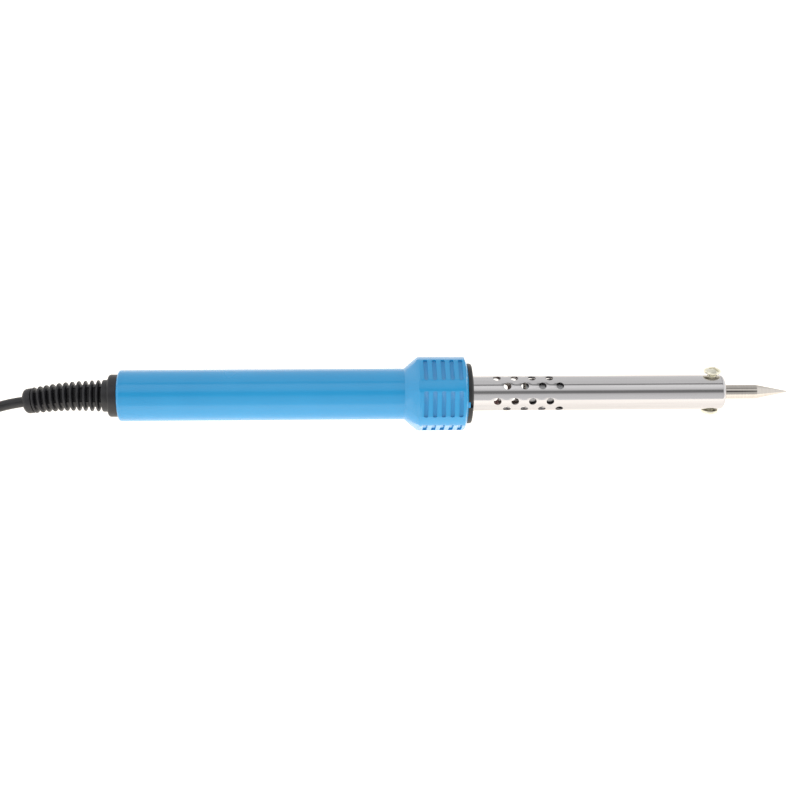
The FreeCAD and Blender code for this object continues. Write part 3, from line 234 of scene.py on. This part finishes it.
def addRod(bm, radius, start, end, turn=Matrix(), segments=32):
    # A round bar along +Z before its turn.
    place = turn @ Matrix.Translation((0, 0, (start + end) / 2))
    bmesh.ops.create_cone(bm, cap_ends=True, segments=segments, radius1=radius, radius2=radius,
                          depth=end - start, matrix=place)


def prism(profile, half, turn=Matrix()):
    # A profile of (along, up) points, drawn out this far to both sides and turned.
    bm = bmesh.new()
    verts = [bm.verts.new((x, -half, z)) for x, z in profile]
    edges = [bm.edges.new(pair) for pair in zip(verts, verts[1:] + verts[:1])]
    side = bmesh.ops.edgeloop_fill(bm, edges=edges)["faces"]
    grown = bmesh.ops.extrude_face_region(bm, geom=side)["geom"]
    moved = [v for v in grown if isinstance(v, bmesh.types.BMVert)]
    bmesh.ops.translate(bm, verts=moved, vec=(0, 2 * half, 0))
    bm.transform(turn)
    bmesh.ops.recalc_face_normals(bm, faces=bm.faces)
    return bm


def meshObject(name, bm):
    mesh = bpy.data.meshes.new(name)
    bm.to_mesh(mesh)
    bm.free()
    made = bpy.data.objects.new(name, mesh)
    bpy.context.scene.collection.objects.link(made)
    return made


def joined(bm, other, place=Matrix()):
    # Adds a copy of another shape at its place and lets the other one go.
    other.transform(place)
    mesh = bpy.data.meshes.new("joined")
    other.to_mesh(mesh)
    other.free()
    bm.from_mesh(mesh)
    bpy.data.meshes.remove(mesh)


def carved(bm, cutter):
    # What is left of one shape when another is taken out of it.
    kept, tool = meshObject("kept", bm), meshObject("tool", cutter)
    cut = kept.modifiers.new("cut", "BOOLEAN")
    cut.operation, cut.solver, cut.object = "DIFFERENCE", "EXACT", tool
    depsgraph = bpy.context.evaluated_depsgraph_get()
    mesh = bpy.data.meshes.new_from_object(kept.evaluated_get(depsgraph))
    result = bmesh.new()
    result.from_mesh(mesh)
    for made in (kept, tool):
        old = made.data
        bpy.data.objects.remove(made)
        bpy.data.meshes.remove(old)
    bpy.data.meshes.remove(mesh)
    bmesh.ops.remove_doubles(result, verts=result.verts, dist=1e-4)
    return result


def softened(bm, width, angle=25, segments=2):
    # Rounds every edge sharper than the angle.
    sharp = [e for e in bm.edges if e.is_manifold and e.calc_face_angle() > math.radians(angle)]
    bmesh.ops.bevel(bm, geom=sharp, offset=width, offset_type="OFFSET", affect="EDGES", segments=segments,
                    profile=0.5, material=-1, clamp_overlap=True)
    return bm


def makePiece(name, bm, material, body, stoodFor, place=toolPlace, smooth=30):
    bm.transform(place)
    piece = meshObject(name, bm)
    piece.data.materials.append(material)
    piece.data.shade_smooth()
    piece.data.set_sharp_from_angle(angle=math.radians(smooth))
    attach(piece, body)
    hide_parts(*stoodFor)
    return piece


# ---- cord

cordSet = {"radius": 1.8, "length": 1.39, "hankMiddle": 111.0, "hankSide": 4.0, "endCentre": 22.8,
           "columns": (14.4, 10.8), "waist": (5.4, 1.8), "waistReach": 4.7, "layers": 4, "lift": 0.9,
           "step": 30, "reach": 4}


def bootLine(reach, shape):
    # Point and slope of the boot's middle line, this far behind its flange, in tool millimetres.
    droop = math.radians(shape["droop"])
    size = shape["bendLength"] / math.sin(droop)
    angle = min(max((reach - shape["bendStart"]) / size, 0), droop)
    along = min(reach, shape["bendStart"]) + size * math.sin(angle)
    drop = size * (1 - math.cos(angle))
    beyond = max(reach - shape["bendStart"] - size * droop, 0)
    return Vector((-along - beyond * math.cos(droop), 0, -drop - beyond * math.sin(droop))), angle


bootSet = {"droop": 10.5, "bendStart": 8.0, "bendLength": 12.0, "flangeRadius": 7.2,
           "flangeRounding": 0.9, "collar": 2.0, "endCollar": 3.1, "endRounding": 1.5, "corner": 0.3,
           "ribs": 11, "rootRadius": 5.5, "endRadius": 4.25, "ribWidth": 1.3, "ribShare": 0.24,
           "ribFoot": 0.05, "crest": 0.4, "slots": 3, "slotShare": 0.49, "slotFloor": 2.3,
           "slotSkin": 0.02, "slotBearing": 55.0, "neckRadius": 4.0, "neck": 4.05, "lipStep": 0.9,
           "lip": 1.5}


def bootLength(shape):
    # Length of the boot's middle line, from the lowest corner of its rounded end in the frame.
    droop = math.radians(shape["droop"])
    tipBack = shape["endRadius"] - shape["endRounding"] * (1 - math.tan(droop / 2))
    end = -toStation(bootLow.x) - tipBack * math.sin(droop)
    bend = shape["bendLength"] * droop / math.sin(droop)
    straight = (end - shape["bendStart"] - shape["bendLength"]) / math.cos(droop)
    return shape["bendStart"] + bend + straight


bootReach = bootLength(bootSet)
bootEnd, bootSlope = bootLine(bootReach, bootSet)


def hankStrand(shape):
    # The folded cord: on the near side every strand runs straight on, on the far side it changes cell.
    cells = [(0, 0), (0, 1), (1, 1), (1, 0), (2, 0), (2, 1), (3, 1), (3, 0)]
    bulge = 1 / math.cos(math.radians(shape["step"] / 2))
    points = []

    def waistPoint(end, side, cell):
        layer, column = cell
        height = shape["radius"] * (1 + 2 * layer) + shape["lift"]
        points.append((end * shape["waistReach"], side * shape["waist"][column], height))

    def endPoints(end, cell, angles):
        layer, column = cell
        height = shape["radius"] * (1 + 2 * layer)
        for angle in angles:
            size = shape["columns"][column] * bulge
            turn = math.radians(angle)
            points.append((end * (shape["endCentre"] + size * math.cos(turn)), size * math.sin(turn), height))

    sweep = range(-shape["reach"], shape["reach"] + 1)
    for index, cell in enumerate(cells):
        if index == 0:
            endPoints(1, cell, (-90, -120))
        waistPoint(1, -1, cell)
        waistPoint(-1, -1, cell)
        if index == len(cells) - 1:
            endPoints(-1, cell, (-120, -90))
            break
        endPoints(-1, cell, [step * shape["step"] for step in sweep])
        waistPoint(-1, 1, cell)
        following = cells[index + 1]
        waistPoint(1, 1, following)
        endPoints(1, following, [-step * shape["step"] for step in sweep])
    return [onTool(x - shape["hankMiddle"], y + shape["hankSide"], 0) + Vector((0, 0, z * mm - axisZ))
            for x, y, z in points]


def benchPoint(reach, side, height):
    # A point this far behind the flange, beside the axis and over the bench.
    return Vector((stationZero - reach * mm, side * mm, floorZ + height * mm))


def makeCord(shape):
    outward = Vector((-math.cos(bootSlope), 0, -math.sin(bootSlope)))
    exitPoint = onTool(bootEnd.x, 0, bootEnd.z)
    outer = shape["hankSide"] - shape["columns"][0]
    floor = shape["radius"]
    top = floor + 2 * floor * (shape["layers"] - 1)
    plugHeight = (plugHigh.z - plugLow.z) / 2 / mm
    lead = [
        exitPoint,
        exitPoint + outward * 6 * mm,
        benchPoint(43.5, -1.7, 5.9),
        benchPoint(53.0, -4.0, 3.6),
        benchPoint(63.0, -6.7, floor + 0.3),
        benchPoint(74.0, -9.2, floor),
        benchPoint(84.0, outer, floor),
    ]
    tail = [
        benchPoint(136.0, outer, top + shape["lift"]),
        benchPoint(147.0, -9.7, top + shape["lift"] - 0.3),
        benchPoint(157.5, -6.0, 10.9),
        benchPoint(166.5, -0.8, 8.3),
        benchPoint(174.0, 2.5, plugHeight),
        benchPoint(182.0, 2.5, plugHeight),
    ]
    points = lead + hankStrand(shape) + tail
    data = bpy.data.curves.new("mains_cord", "CURVE")
    data.dimensions = "3D"
    spline = data.splines.new("NURBS")
    spline.points.add(len(points) - 1)
    for target, point in zip(spline.points, points):
        target.co = (*point, 1)
    spline.order_u = 3
    spline.use_endpoint_u = True
    spline.resolution_u = 5
    data.bevel_depth = shape["radius"] * mm
    data.bevel_resolution = 6
    data.use_fill_caps = True
    cord = bpy.data.objects.new("mains_cord", data)
    bpy.context.scene.collection.objects.link(cord)
    data.materials.append(cordPvc)
    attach(cord, "iron")
    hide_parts("cord_lead", "cord_hank", "cord_tail")
    return cord, exitPoint


cord, cordExit = makeCord(cordSet)
print("stage: cord")

# ---- handle

handleSet = {"radius": 8.75, "coneStart": 100.1, "gripStart": 104.6, "face": 121.5, "gripRadius": 12.75,
             "flats": 6, "flat": 12.0, "flatStart": 105.1, "flatFoot": 0.3, "ramp": 30.0, "bevelLength": 1.0,
             "bevelDepth": 2.3, "bore": 8.0, "cavity": 6.95, "shoulder": 108.0, "rearWall": 4.0, "neck": 4.05,
             "rounding": 1.0, "grooves": 5, "grooveStart": 107.1, "groovePitch": 2.96, "grooveWidth": 1.4,
             "grooveDepth": 0.75, "grooveReach": 4.6, "grooveRounding": 0.5, "keyBearing": 25.0,
             "keyWidth": 2.0, "keyInner": 8.7, "keyOuter": 10.3, "keyLength": 0.65, "keyRoot": 0.4,
             "edge": 0.12}


def makeHandle(shape):
    rear = bootFlangeThickness
    face, outer = shape["face"], shape["gripRadius"]
    rounding = shape["rounding"]
    profile = arc(rear + rounding, shape["radius"] - rounding, rounding, 180, 90)
    profile += [(shape["coneStart"], shape["radius"]), (shape["gripStart"], outer),
                (face - shape["bevelLength"], outer), (face, outer - shape["bevelDepth"]),
                (face, shape["bore"]), (shape["shoulder"], shape["bore"]),
                (shape["shoulder"], shape["cavity"]), (rear + shape["rearWall"], shape["cavity"]),
                (rear + shape["rearWall"], shape["neck"]), (rear, shape["neck"])]
    bm = spun(profile, 144)

    # The flats run out over the cone, and grooves lie across each.
    foot = shape["radius"] + shape["flatFoot"]
    run = (shape["flat"] - foot) / math.tan(math.radians(shape["ramp"]))
    start, above = shape["flatStart"], outer + 2
    wedge = [(start - run, foot), (start, shape["flat"]), (face + 1, shape["flat"]), (face + 1, above),
             (start - run, above)]
    grooves = bmesh.new()
    half, reach = shape["grooveWidth"] / 2, shape["grooveReach"]
    for index in range(shape["flats"]):
        turn = bearingTurn(360 / shape["flats"] * (index + 0.5))
        bm = carved(bm, prism(wedge, outer, turn))
        for row in range(shape["grooves"]):
            middle = shape["grooveStart"] + shape["groovePitch"] * row
            cutter = bmesh.new()
            addBlock(cutter, (middle - half, -reach, shape["flat"] - shape["grooveDepth"]),
                     (middle + half, reach, above))
            upright = [e for e in cutter.edges if abs(e.verts[0].co.z - e.verts[1].co.z) > 0.1]
            bmesh.ops.bevel(cutter, geom=upright, offset=shape["grooveRounding"], affect="EDGES",
                            segments=4, profile=0.5, material=-1)
            joined(grooves, cutter, turn)
    bm = carved(bm, grooves)
    addBlock(bm, (face - shape["keyRoot"], -shape["keyWidth"] / 2, shape["keyInner"]),
             (face + shape["keyLength"], shape["keyWidth"] / 2, shape["keyOuter"]),
             bearingTurn(shape["keyBearing"]))
    softened(bm, shape["edge"], 20)
    makePiece("handle", bm, bluePlastic, "iron", ["handle_shell"])


makeHandle(handleSet)
print("stage: handle")

# ---- front ring and barrel

ringSet = {"back": 109.0, "rim": 121.5, "rimThickness": 1.3, "radius": 10.3, "dome": 0.8,
           "shoulderShare": 0.9, "shoulderWidth": 1.4, "lipWidth": 0.4, "bore": 6.05, "spigot": 7.95,
           "edge": 0.06}


def makeRing(shape, key):
    front = shape["rim"] + shape["rimThickness"]
    outer, dome = shape["radius"], shape["dome"]
    profile = [(shape["back"], shape["bore"]), (shape["back"], shape["spigot"]),
               (shape["rim"], shape["spigot"]), (shape["rim"], outer)]
    profile += arc(front - dome / 2, outer - dome, dome, 90, 20, 5)
    profile += [(front + dome * shape["shoulderShare"], shape["bore"] + shape["shoulderWidth"]),
                (front + dome, shape["bore"] + shape["lipWidth"]), (front + dome, shape["bore"])]
    notch = bmesh.new()
    half = key["keyWidth"] / 2 + fixedFit
    addBlock(notch, (shape["rim"] - 0.001, -half, key["keyInner"] - fixedFit), (front + 2, half, outer + 1),
             bearingTurn(key["keyBearing"]))
    bm = softened(carved(spun(profile, 96), notch), shape["edge"])
    makePiece("front_collar", bm, blackPhenolic, "iron", ["front_ring"])


makeRing(ringSet, handleSet)

barrelSet = {"rear": 108.0, "radius": 6.0, "wall": 0.5, "noseWall": 0.8, "rounding": 1.5, "tipBore": 2.58,
             "ventRadius": 1.3, "ventPitch": 6.0, "vents": 4, "rowAngle": 34.1, "bearing": 72.0,
             "rows": 10, "rearRowStart": 131.8, "stagger": 3.4, "screwSetBack": 4.2, "screwBearing": 120.0,
             "screwHole": 1.66, "insideChamfer": 0.75, "cutReach": 1.5, "edge": 0.05}


def makeBarrel(shape):
    front = toStation(barrelHigh.x)
    radius, rounding = shape["radius"], shape["rounding"]
    inside, bore = front - shape["noseWall"], radius - shape["wall"]
    chamfer = shape["insideChamfer"]
    profile = [(shape["rear"], bore), (inside - chamfer, bore), (inside, bore - chamfer),
               (inside, shape["tipBore"]), (front, shape["tipBore"])]
    profile += arc(front - rounding, radius - rounding, rounding, 0, 90, 10)
    # Plain rings between the vents keep the faces short where the holes are cut.
    half = shape["ventPitch"] / 2
    rings = [shape["rearRowStart"] - half + half * i for i in range(2 * shape["vents"] + 1)]
    profile += [(station, radius) for station in reversed(rings)]
    profile += [(shape["rear"], radius)]
    cutter = bmesh.new()
    for row in range(shape["rows"]):
        start = shape["rearRowStart"] + (shape["stagger"] if row % 2 == 0 else 0)
        turn = bearingTurn(shape["bearing"] + shape["rowAngle"] * row)
        for index in range(shape["vents"]):
            place = Matrix.Translation((start + shape["ventPitch"] * index, 0, 0)) @ turn
            addRod(cutter, shape["ventRadius"], radius - shape["cutReach"], radius + 1, place)
    screwPlace = Matrix.Translation((front - shape["screwSetBack"], 0, 0))
    screwPlace = screwPlace @ bearingTurn(shape["screwBearing"])
    addRod(cutter, shape["screwHole"], -radius - 1, radius + 1, screwPlace)
    bm = softened(carved(spun(profile, 128), cutter), shape["edge"])
    tube = makePiece("barrel_tube", bm, drawnStainless, "iron", ["barrel"])
    # Large faces lead the shading, so the reflections run straight past the vents.
    evened = tube.modifiers.new("evenedNormals", "WEIGHTED_NORMAL")
    evened.keep_sharp = True
    evened.weight = 100


makeBarrel(barrelSet)
print("stage: barrel")

# ---- tip and clamp screws

tipSet = {"radius": 2.5, "cone": 11.0, "point": 0.28, "chamfer": 0.4, "blend": 0.15, "blendDrop": 0.06}


def makeTip(shape):
    rear, end = toStation(tipLow.x), toStation(tipHigh.x)
    radius, point = shape["radius"], shape["point"]
    coneStart = end - shape["cone"]
    slope = math.degrees(math.atan2(radius - point, shape["cone"] - point))
    profile = [(rear, 0), (rear, radius - shape["chamfer"]), (rear + shape["chamfer"], radius)]
    profile += [(coneStart - shape["blend"], radius),
                (coneStart + shape["blend"], radius - shape["blendDrop"])]
    profile += arc(end - point, 0, point, 90 - slope, 0, 6)
    bm = spun(profile, 96, closed=False)
    makePiece("conical_tip", bm, platedTip, "tip", ["tip"], smooth=25)


makeTip(tipSet)

screwSet = {"radius": 1.5, "root": 1.3, "pitch": 0.5, "inner": 2.58, "headRadius": 2.92, "edge": 0.7,
            "rim": 0.12, "dome": 1.05, "slotWidth": 0.8, "slotDepth": 0.75, "crossLength": 3.0,
            "crossDepth": 1.2, "crossShare": 0.98, "crestStart": 0.45, "crestEnd": 0.55, "rounding": 0.05,
            "upperLift": 0.95, "lowerLift": 0.2}


def makeScrew(name, body, turned, lift, shape):
    underHead = barrelSet["radius"] + lift
    radius, root, pitch = shape["radius"], shape["root"], shape["pitch"]
    profile = [(shape["inner"], 0), (shape["inner"], root)]
    for index in range(int((underHead - shape["inner"]) / pitch)):
        start = shape["inner"] + pitch * index
        profile += [(start + pitch * shape["crestStart"], radius),
                    (start + pitch * shape["crestEnd"], radius), (start + pitch, root)]
    head, edge = shape["headRadius"], underHead + shape["edge"]
    profile += [(underHead, root), (underHead, head - shape["rim"]), (underHead + shape["rim"], head),
                (edge, head)]
    # The head's dome is a quarter ellipse from its edge to its top.
    for index in range(1, 11):
        turn = math.radians(9 * index)
        profile.append((edge + shape["dome"] * math.sin(turn), head * math.cos(turn)))
    profile[-1] = (profile[-1][0], 0)
    top = edge + shape["dome"]
    cutter = bmesh.new()
    half = shape["slotWidth"] / 2
    addBlock(cutter, (top - shape["slotDepth"], -head - 1, -half), (top + 1, head + 1, half))
    bm = carved(spun(profile, 64, closed=False), cutter)
    # The cross is shorter than the slot and a little narrower, one bar of it lying in the slot.
    reach, half = shape["crossLength"] / 2, half * shape["crossShare"]
    for size in ((reach, half), (half, reach)):
        cross = bmesh.new()
        addBlock(cross, (top - shape["crossDepth"], -size[0], -size[1]), (top + 1, *size))
        bm = carved(bm, cross)
    softened(bm, shape["rounding"], 35)
    direction = bearingTurn(barrelSet["screwBearing"] + turned).to_3x3() @ Vector((0, 0, 1))
    lay = Vector((1, 0, 0)).rotation_difference(direction).to_matrix().to_4x4()
    station = toStation(barrelHigh.x) - barrelSet["screwSetBack"]
    place = toolPlace @ Matrix.Translation((station, 0, 0)) @ lay
    makePiece(name, bm, yellowZinc, body, [body], place)


makeScrew("upper_clamp_screw", "upper_screw", 0, screwSet["upperLift"], screwSet)
makeScrew("lower_clamp_screw", "lower_screw", -180, screwSet["lowerLift"], screwSet)
print("stage: tip and screws")

# ---- boot


def makeBoot(shape):
    # The boot is drawn straight, then every point behind the flange is carried to the bent middle line.
    hole = cordSet["radius"] + fixedFit
    pitch = (bootReach - shape["collar"] - shape["endCollar"]) / shape["ribs"]
    gap = pitch - shape["ribWidth"]

    def ribRadius(reach):
        return shape["rootRadius"] + (shape["endRadius"] - shape["rootRadius"]) * reach / bootReach

    rounding = shape["flangeRounding"]
    flange, radius = bootFlangeThickness, shape["flangeRadius"]
    neckEnd = flange + shape["neck"]
    profile = [(neckEnd + shape["lip"], hole), (neckEnd + shape["lip"], shape["neckRadius"]),
               (neckEnd, shape["neckRadius"] + shape["lipStep"]), (neckEnd, shape["neckRadius"]),
               (flange, shape["neckRadius"]), (flange, radius)]
    profile += arc(rounding, radius - rounding, rounding, 90, 180, 6)
    start, corner, crest = shape["collar"], shape["corner"], shape["crest"]
    profile += [(0, ribRadius(0))] + arc(-start + corner, ribRadius(start) - corner, corner, 90, 180, 3)
    # Each rib stands up from the core with sloping sides and a round crest.
    for index in range(shape["ribs"]):
        middle = start + gap + shape["ribWidth"] / 2
        top = ribRadius(middle)
        core = top * (1 - shape["ribShare"])
        profile += [(-start - shape["ribFoot"], core), (-start - gap, core)]
        profile += arc(-middle, top - crest, crest, 15, 165, 6)
        profile += [(-start - pitch, core)]
        start += pitch
    last, rounding = shape["endRadius"], shape["endRounding"]
    profile += arc(-start - corner, last - corner, corner, 0, 90, 3)
    profile += arc(-bootReach + rounding, last - rounding, rounding, 90, 180, 8) + [(-bootReach, hole)]
    bm = spun(profile, 96)
    cutter = bmesh.new()
    start = shape["collar"]
    for index in range(shape["ribs"]):
        half = ribRadius(start) * shape["slotShare"]
        for row in range(shape["slots"]):
            turn = bearingTurn(shape["slotBearing"] + 360 / shape["slots"] * row)
            addBlock(cutter, (-start - gap, -half, shape["slotFloor"]),
                     (-start - shape["slotSkin"], half, radius), turn)
        start += pitch
    bm = carved(bm, cutter)
    for vert in bm.verts:
        if vert.co.x < 0:
            centre, slope = bootLine(-vert.co.x, shape)
            upward = Vector((-math.sin(slope), 0, math.cos(slope)))
            vert.co = centre + Vector((0, vert.co.y, 0)) + upward * vert.co.z
    makePiece("boot", bm, softPvc, "iron", ["strain_relief_boot"])


makeBoot(bootSet)
print("stage: boot")

# ---- tie and plug

tieSet = {"thickness": 0.9, "corner": 2.2, "edge": 0.15}


def makeTie(shape):
    low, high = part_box("cord_tie")
    bm = bmesh.new()
    addBlock(bm, low / mm, high / mm)
    ends = [f for f in bm.faces if abs(f.normal.x) > 0.9]
    bmesh.ops.delete(bm, geom=ends, context="FACES")
    corners = [e for e in bm.edges if abs(e.verts[0].co.x - e.verts[1].co.x) > 1]
    bmesh.ops.bevel(bm, geom=corners, offset=shape["corner"], affect="EDGES", segments=6, profile=0.5,
                    material=-1)
    bmesh.ops.recalc_face_normals(bm, faces=bm.faces)
    bmesh.ops.solidify(bm, geom=bm.faces, thickness=shape["thickness"])
    bmesh.ops.recalc_face_normals(bm, faces=bm.faces)
    softened(bm, shape["edge"], 60)
    return makePiece("strap_tie", bm, strapNylon, "iron", ["cord_tie"], Matrix.Scale(mm, 4))


tie = makeTie(tieSet)

plugSet = {"shoulder": 20.0, "shoulderShare": 0.45, "edge": 2.5, "rounding": 0.12, "grooves": 3,
           "grooveSetBack": 4.5, "groovePitch": 3.2, "grooveRadius": 0.7, "grooveReach": 8,
           "reliefLength": 20.0, "reliefTip": 2.5, "reliefRadius": 4.4, "rings": 6, "ringShare": 0.8,
           "ringStart": 0.1, "ringDepth": 0.5, "ringGap": 0.4, "ringSlope": 0.15, "ringRise": 0.1,
           "pinSpacing": 18.6, "pinRadius": 2.0, "pinLength": 19.0, "pinRounding": 1, "sleeve": 10.0,
           "sleeveRadius": 1.8, "neckRadius": 1.4, "root": 8.0}


def makePlug(shape):
    low, high = plugLow / mm, plugHigh / mm
    centre = (low + high) / 2
    bm = bmesh.new()
    addBlock(bm, low, high)
    wide = [f for f in bm.faces if f.normal.x > 0.9][0]
    sides = [e for e in bm.edges if abs(e.verts[0].co.x - e.verts[1].co.x) > 1]
    split = bmesh.ops.subdivide_edges(bm, edges=sides, cuts=1)
    shoulderX = high.x - (high.x - low.x) * shape["shoulderShare"]
    for vert in [g for g in split["geom_inner"] if isinstance(g, bmesh.types.BMVert)]:
        vert.co.x = shoulderX
    for vert in wide.verts:
        vert.co.y = centre.y + math.copysign(shape["shoulder"] / 2, vert.co.y - centre.y)
    rounded = [e for e in bm.edges if max(v.co.x for v in e.verts) > low.x + 0.01
               and e.calc_face_angle() > math.radians(15)]
    bmesh.ops.bevel(bm, geom=rounded, offset=shape["edge"], affect="EDGES", segments=5, profile=0.5,
                    material=-1, clamp_overlap=True)
    cutter = bmesh.new()
    half = shape["root"] / 2
    bore = shape["neckRadius"] + fixedFit
    for side in (-1, 1):
        place = Matrix.Translation((low.x + half, centre.y + side * shape["pinSpacing"] / 2, centre.z))
        place = place @ Matrix.Rotation(math.pi / 2, 4, "Y")
        addRod(cutter, bore, -half - 1, half, place)
    # Shallow finger grooves across each broad face.
    for index in range(shape["grooves"]):
        for height in (low.z, high.z):
            x = shoulderX - shape["grooveSetBack"] + index * shape["groovePitch"]
            place = Matrix.Translation((x, centre.y, height)) @ Matrix.Rotation(math.pi / 2, 4, "X")
            addRod(cutter, shape["grooveRadius"], -shape["grooveReach"], shape["grooveReach"], place)
    bm = softened(carved(bm, cutter), shape["rounding"], 40)
    millimetres = Matrix.Scale(mm, 4)
    casing = makePiece("plug_casing", bm, softPvc, "iron", ["plug_body"], millimetres)

    # Tapered relief with rings cut into it.
    start, length = high.x + shape["reliefLength"], shape["reliefLength"]
    reliefEnd, corner = shape["reliefTip"], 0.2
    depth, slope = shape["ringDepth"], shape["ringSlope"]
    profile = [(0, cordSet["radius"]), (0, reliefEnd - corner), (-corner, reliefEnd)]
    pitch = length * shape["ringShare"] / shape["rings"]
    for index in range(shape["rings"]):
        x = length * shape["ringStart"] + pitch * index
        radius = reliefEnd + (shape["reliefRadius"] - reliefEnd) * x / length
        back = -x - pitch * shape["ringGap"]
        profile += [(-x, radius), (-x - slope, radius - depth), (back, radius - depth),
                    (back - slope, radius + shape["ringRise"])]
    profile += [(-length, shape["reliefRadius"]), (-length, cordSet["radius"])]
    bm = spun(profile, 64)
    place = millimetres @ Matrix.Translation((start, centre.y, centre.z))
    relief = makePiece("plug_strain_relief", bm, softPvc, "iron", ["plug_relief"], place)

    pins, sleeves = bmesh.new(), bmesh.new()
    end, neck, rounding = shape["pinLength"], shape["neckRadius"], shape["pinRounding"]
    pinProfile = [(shape["root"], 0), (shape["root"], neck), (-shape["sleeve"], neck),
                  (-shape["sleeve"], shape["pinRadius"])]
    pinProfile += arc(-end + rounding, shape["pinRadius"] - rounding, rounding, 90, 180, 6) + [(-end, 0)]
    sleeveProfile = [(0, bore), (0, shape["sleeveRadius"]), (-shape["sleeve"], shape["sleeveRadius"]),
                     (-shape["sleeve"], bore)]
    for side in (-1, 1):
        move = Matrix.Translation((low.x, centre.y + side * shape["pinSpacing"] / 2, centre.z))
        joined(pins, spun(pinProfile, 48, closed=False), move)
        joined(sleeves, spun(sleeveProfile, 48), move)
    contacts = makePiece("contact_pins", pins, nickelPlate, "iron", ["plug_pins"], millimetres)
    covers = makePiece("contact_sleeves", sleeves, pinPlastic, "iron", ["pin_sleeves"],
                       millimetres)
    return [casing, relief, contacts, covers]


plugPieces = makePlug(plugSet)
print("stage: plug")

# ---- inner pieces keep their own shape and take their finish here

innerFinish = {
    "barrel_flange": turnedSteel, "clamp_bush": turnedSteel, "heater_sleeve": turnedSteel,
    "heater_core": alumina, "rear_insulator": alumina, "heater_winding": nichrome, "mica_wrap": mica,
    "heater_leads": nichrome, "lead_sleeves": fibreSleeve, "terminal_block": whiteNylon,
    "terminal_tubes": turnedBrass, "terminal_screws": yellowZinc, "live_core": brownPvc,
    "neutral_core": bluePvc, "cord_clamp_upper": blackPhenolic, "cord_clamp_lower": blackPhenolic,
    "cord_clamp_screws": yellowZinc, "cord_inner": cordPvc,
}
for node, finish in innerFinish.items():
    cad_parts[node].data.materials.clear()
    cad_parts[node].data.materials.append(finish)
print("stage: inner pieces")

# ---- studio

# Light by bearing about the tool's axis, like a tent whose opening in front of the camera is dark.
studioSet = {"floorSize": 6.0, "floorColor": "#b4b4b4", "frontGlow": 1.35, "backGlow": 0.9,
             "glowEdge": 60.0, "glowColor": "#fff8ee", "level": 1.5, "endLevel": 0.75, "endStart": 0.45,
             "endFull": 0.62,
             "deepStart": 0.29, "deepFull": 0.3, "deepGamma": 1.6, "bands": [
                 (-180, 0.6), (0, 0.8), (5, 0.64), (30, 0.58), (40, 0.5), (46, 0.19), (60, 0.17), (65, 0.5),
                 (72, 0.62), (90, 0.75), (97, 0.7), (100, 0.2), (106, 0.2), (109, 0.56), (120, 0.56),
                 (135, 0.58), (160, 0.6), (180, 0.6)]}


def makeStudio(shape):
    bm = bmesh.new()
    bmesh.ops.create_grid(bm, x_segments=1, y_segments=1, size=shape["floorSize"] / 2)
    floor = meshObject("floor", bm)
    floor.location.z = floorZ
    # A lit table, a little brighter in front of the tool than behind it.
    material, tree, shader, place = startMaterial("litTable")
    shader.inputs["Base Color"].default_value = hexColor(shape["floorColor"])
    shader.inputs["Roughness"].default_value = 0.9
    shader.inputs["Emission Color"].default_value = hexColor(shape["glowColor"])
    side = addNode(tree, "ShaderNodeSeparateXYZ", {"Vector": place}).outputs["Y"]
    edge = shape["glowEdge"] * mm
    glow = between(tree, side, shape["frontGlow"], shape["backGlow"], -edge, edge)
    tree.links.new(glow, shader.inputs["Emission Strength"])
    floor.data.materials.append(material)

    world = bpy.data.worlds.new("studio")
    bpy.context.scene.world = world
    world.use_nodes = True
    tree = world.node_tree
    background = tree.nodes["Background"]
    background.inputs["Strength"].default_value = shape["level"]
    place = addNode(tree, "ShaderNodeTexCoord").outputs["Generated"]
    split = addNode(tree, "ShaderNodeSeparateXYZ", {"Vector": place})
    front = addNode(tree, "ShaderNodeMath", {0: split.outputs["Y"], 1: -1.0}, operation="MULTIPLY")
    bearing = addNode(tree, "ShaderNodeMath", {0: split.outputs["Z"], 1: front.outputs[0]},
                      operation="ARCTAN2")
    share = addNode(tree, "ShaderNodeMapRange", {"Value": bearing.outputs[0], "From Min": -math.pi,
                                                 "From Max": math.pi})
    ramp = addNode(tree, "ShaderNodeValToRGB", {"Fac": share.outputs["Result"]})
    stops = ramp.color_ramp.elements
    while len(stops) < len(shape["bands"]):
        stops.new(0.5)
    for stop, (angle, level) in zip(stops, shape["bands"]):
        stop.position = (angle + 180) / 360
        stop.color = (level, level, level, 1)
    # Both ends of the tent are bright, so what slopes towards them reads light.
    along = addNode(tree, "ShaderNodeMath", {0: split.outputs["X"]}, operation="ABSOLUTE")
    endShare = between(tree, along.outputs[0], 0, 1, shape["endStart"], shape["endFull"])
    ends = addNode(tree, "ShaderNodeMix", {"Factor": endShare}, data_type="RGBA")
    # Towards the front end the bands stand out more.
    depth = between(tree, split.outputs["X"], 1, shape["deepGamma"], shape["deepStart"], shape["deepFull"])
    deep = addNode(tree, "ShaderNodeGamma", {"Color": ramp.outputs["Color"], "Gamma": depth})
    tree.links.new(deep.outputs["Color"], ends.inputs[6])
    ends.inputs[7].default_value = (shape["endLevel"],) * 3 + (1,)
    tree.links.new(ends.outputs[2], background.inputs["Color"])
    bpy.context.scene.view_settings.view_transform = "Standard"


makeStudio(studioSet)
print("stage: studio")
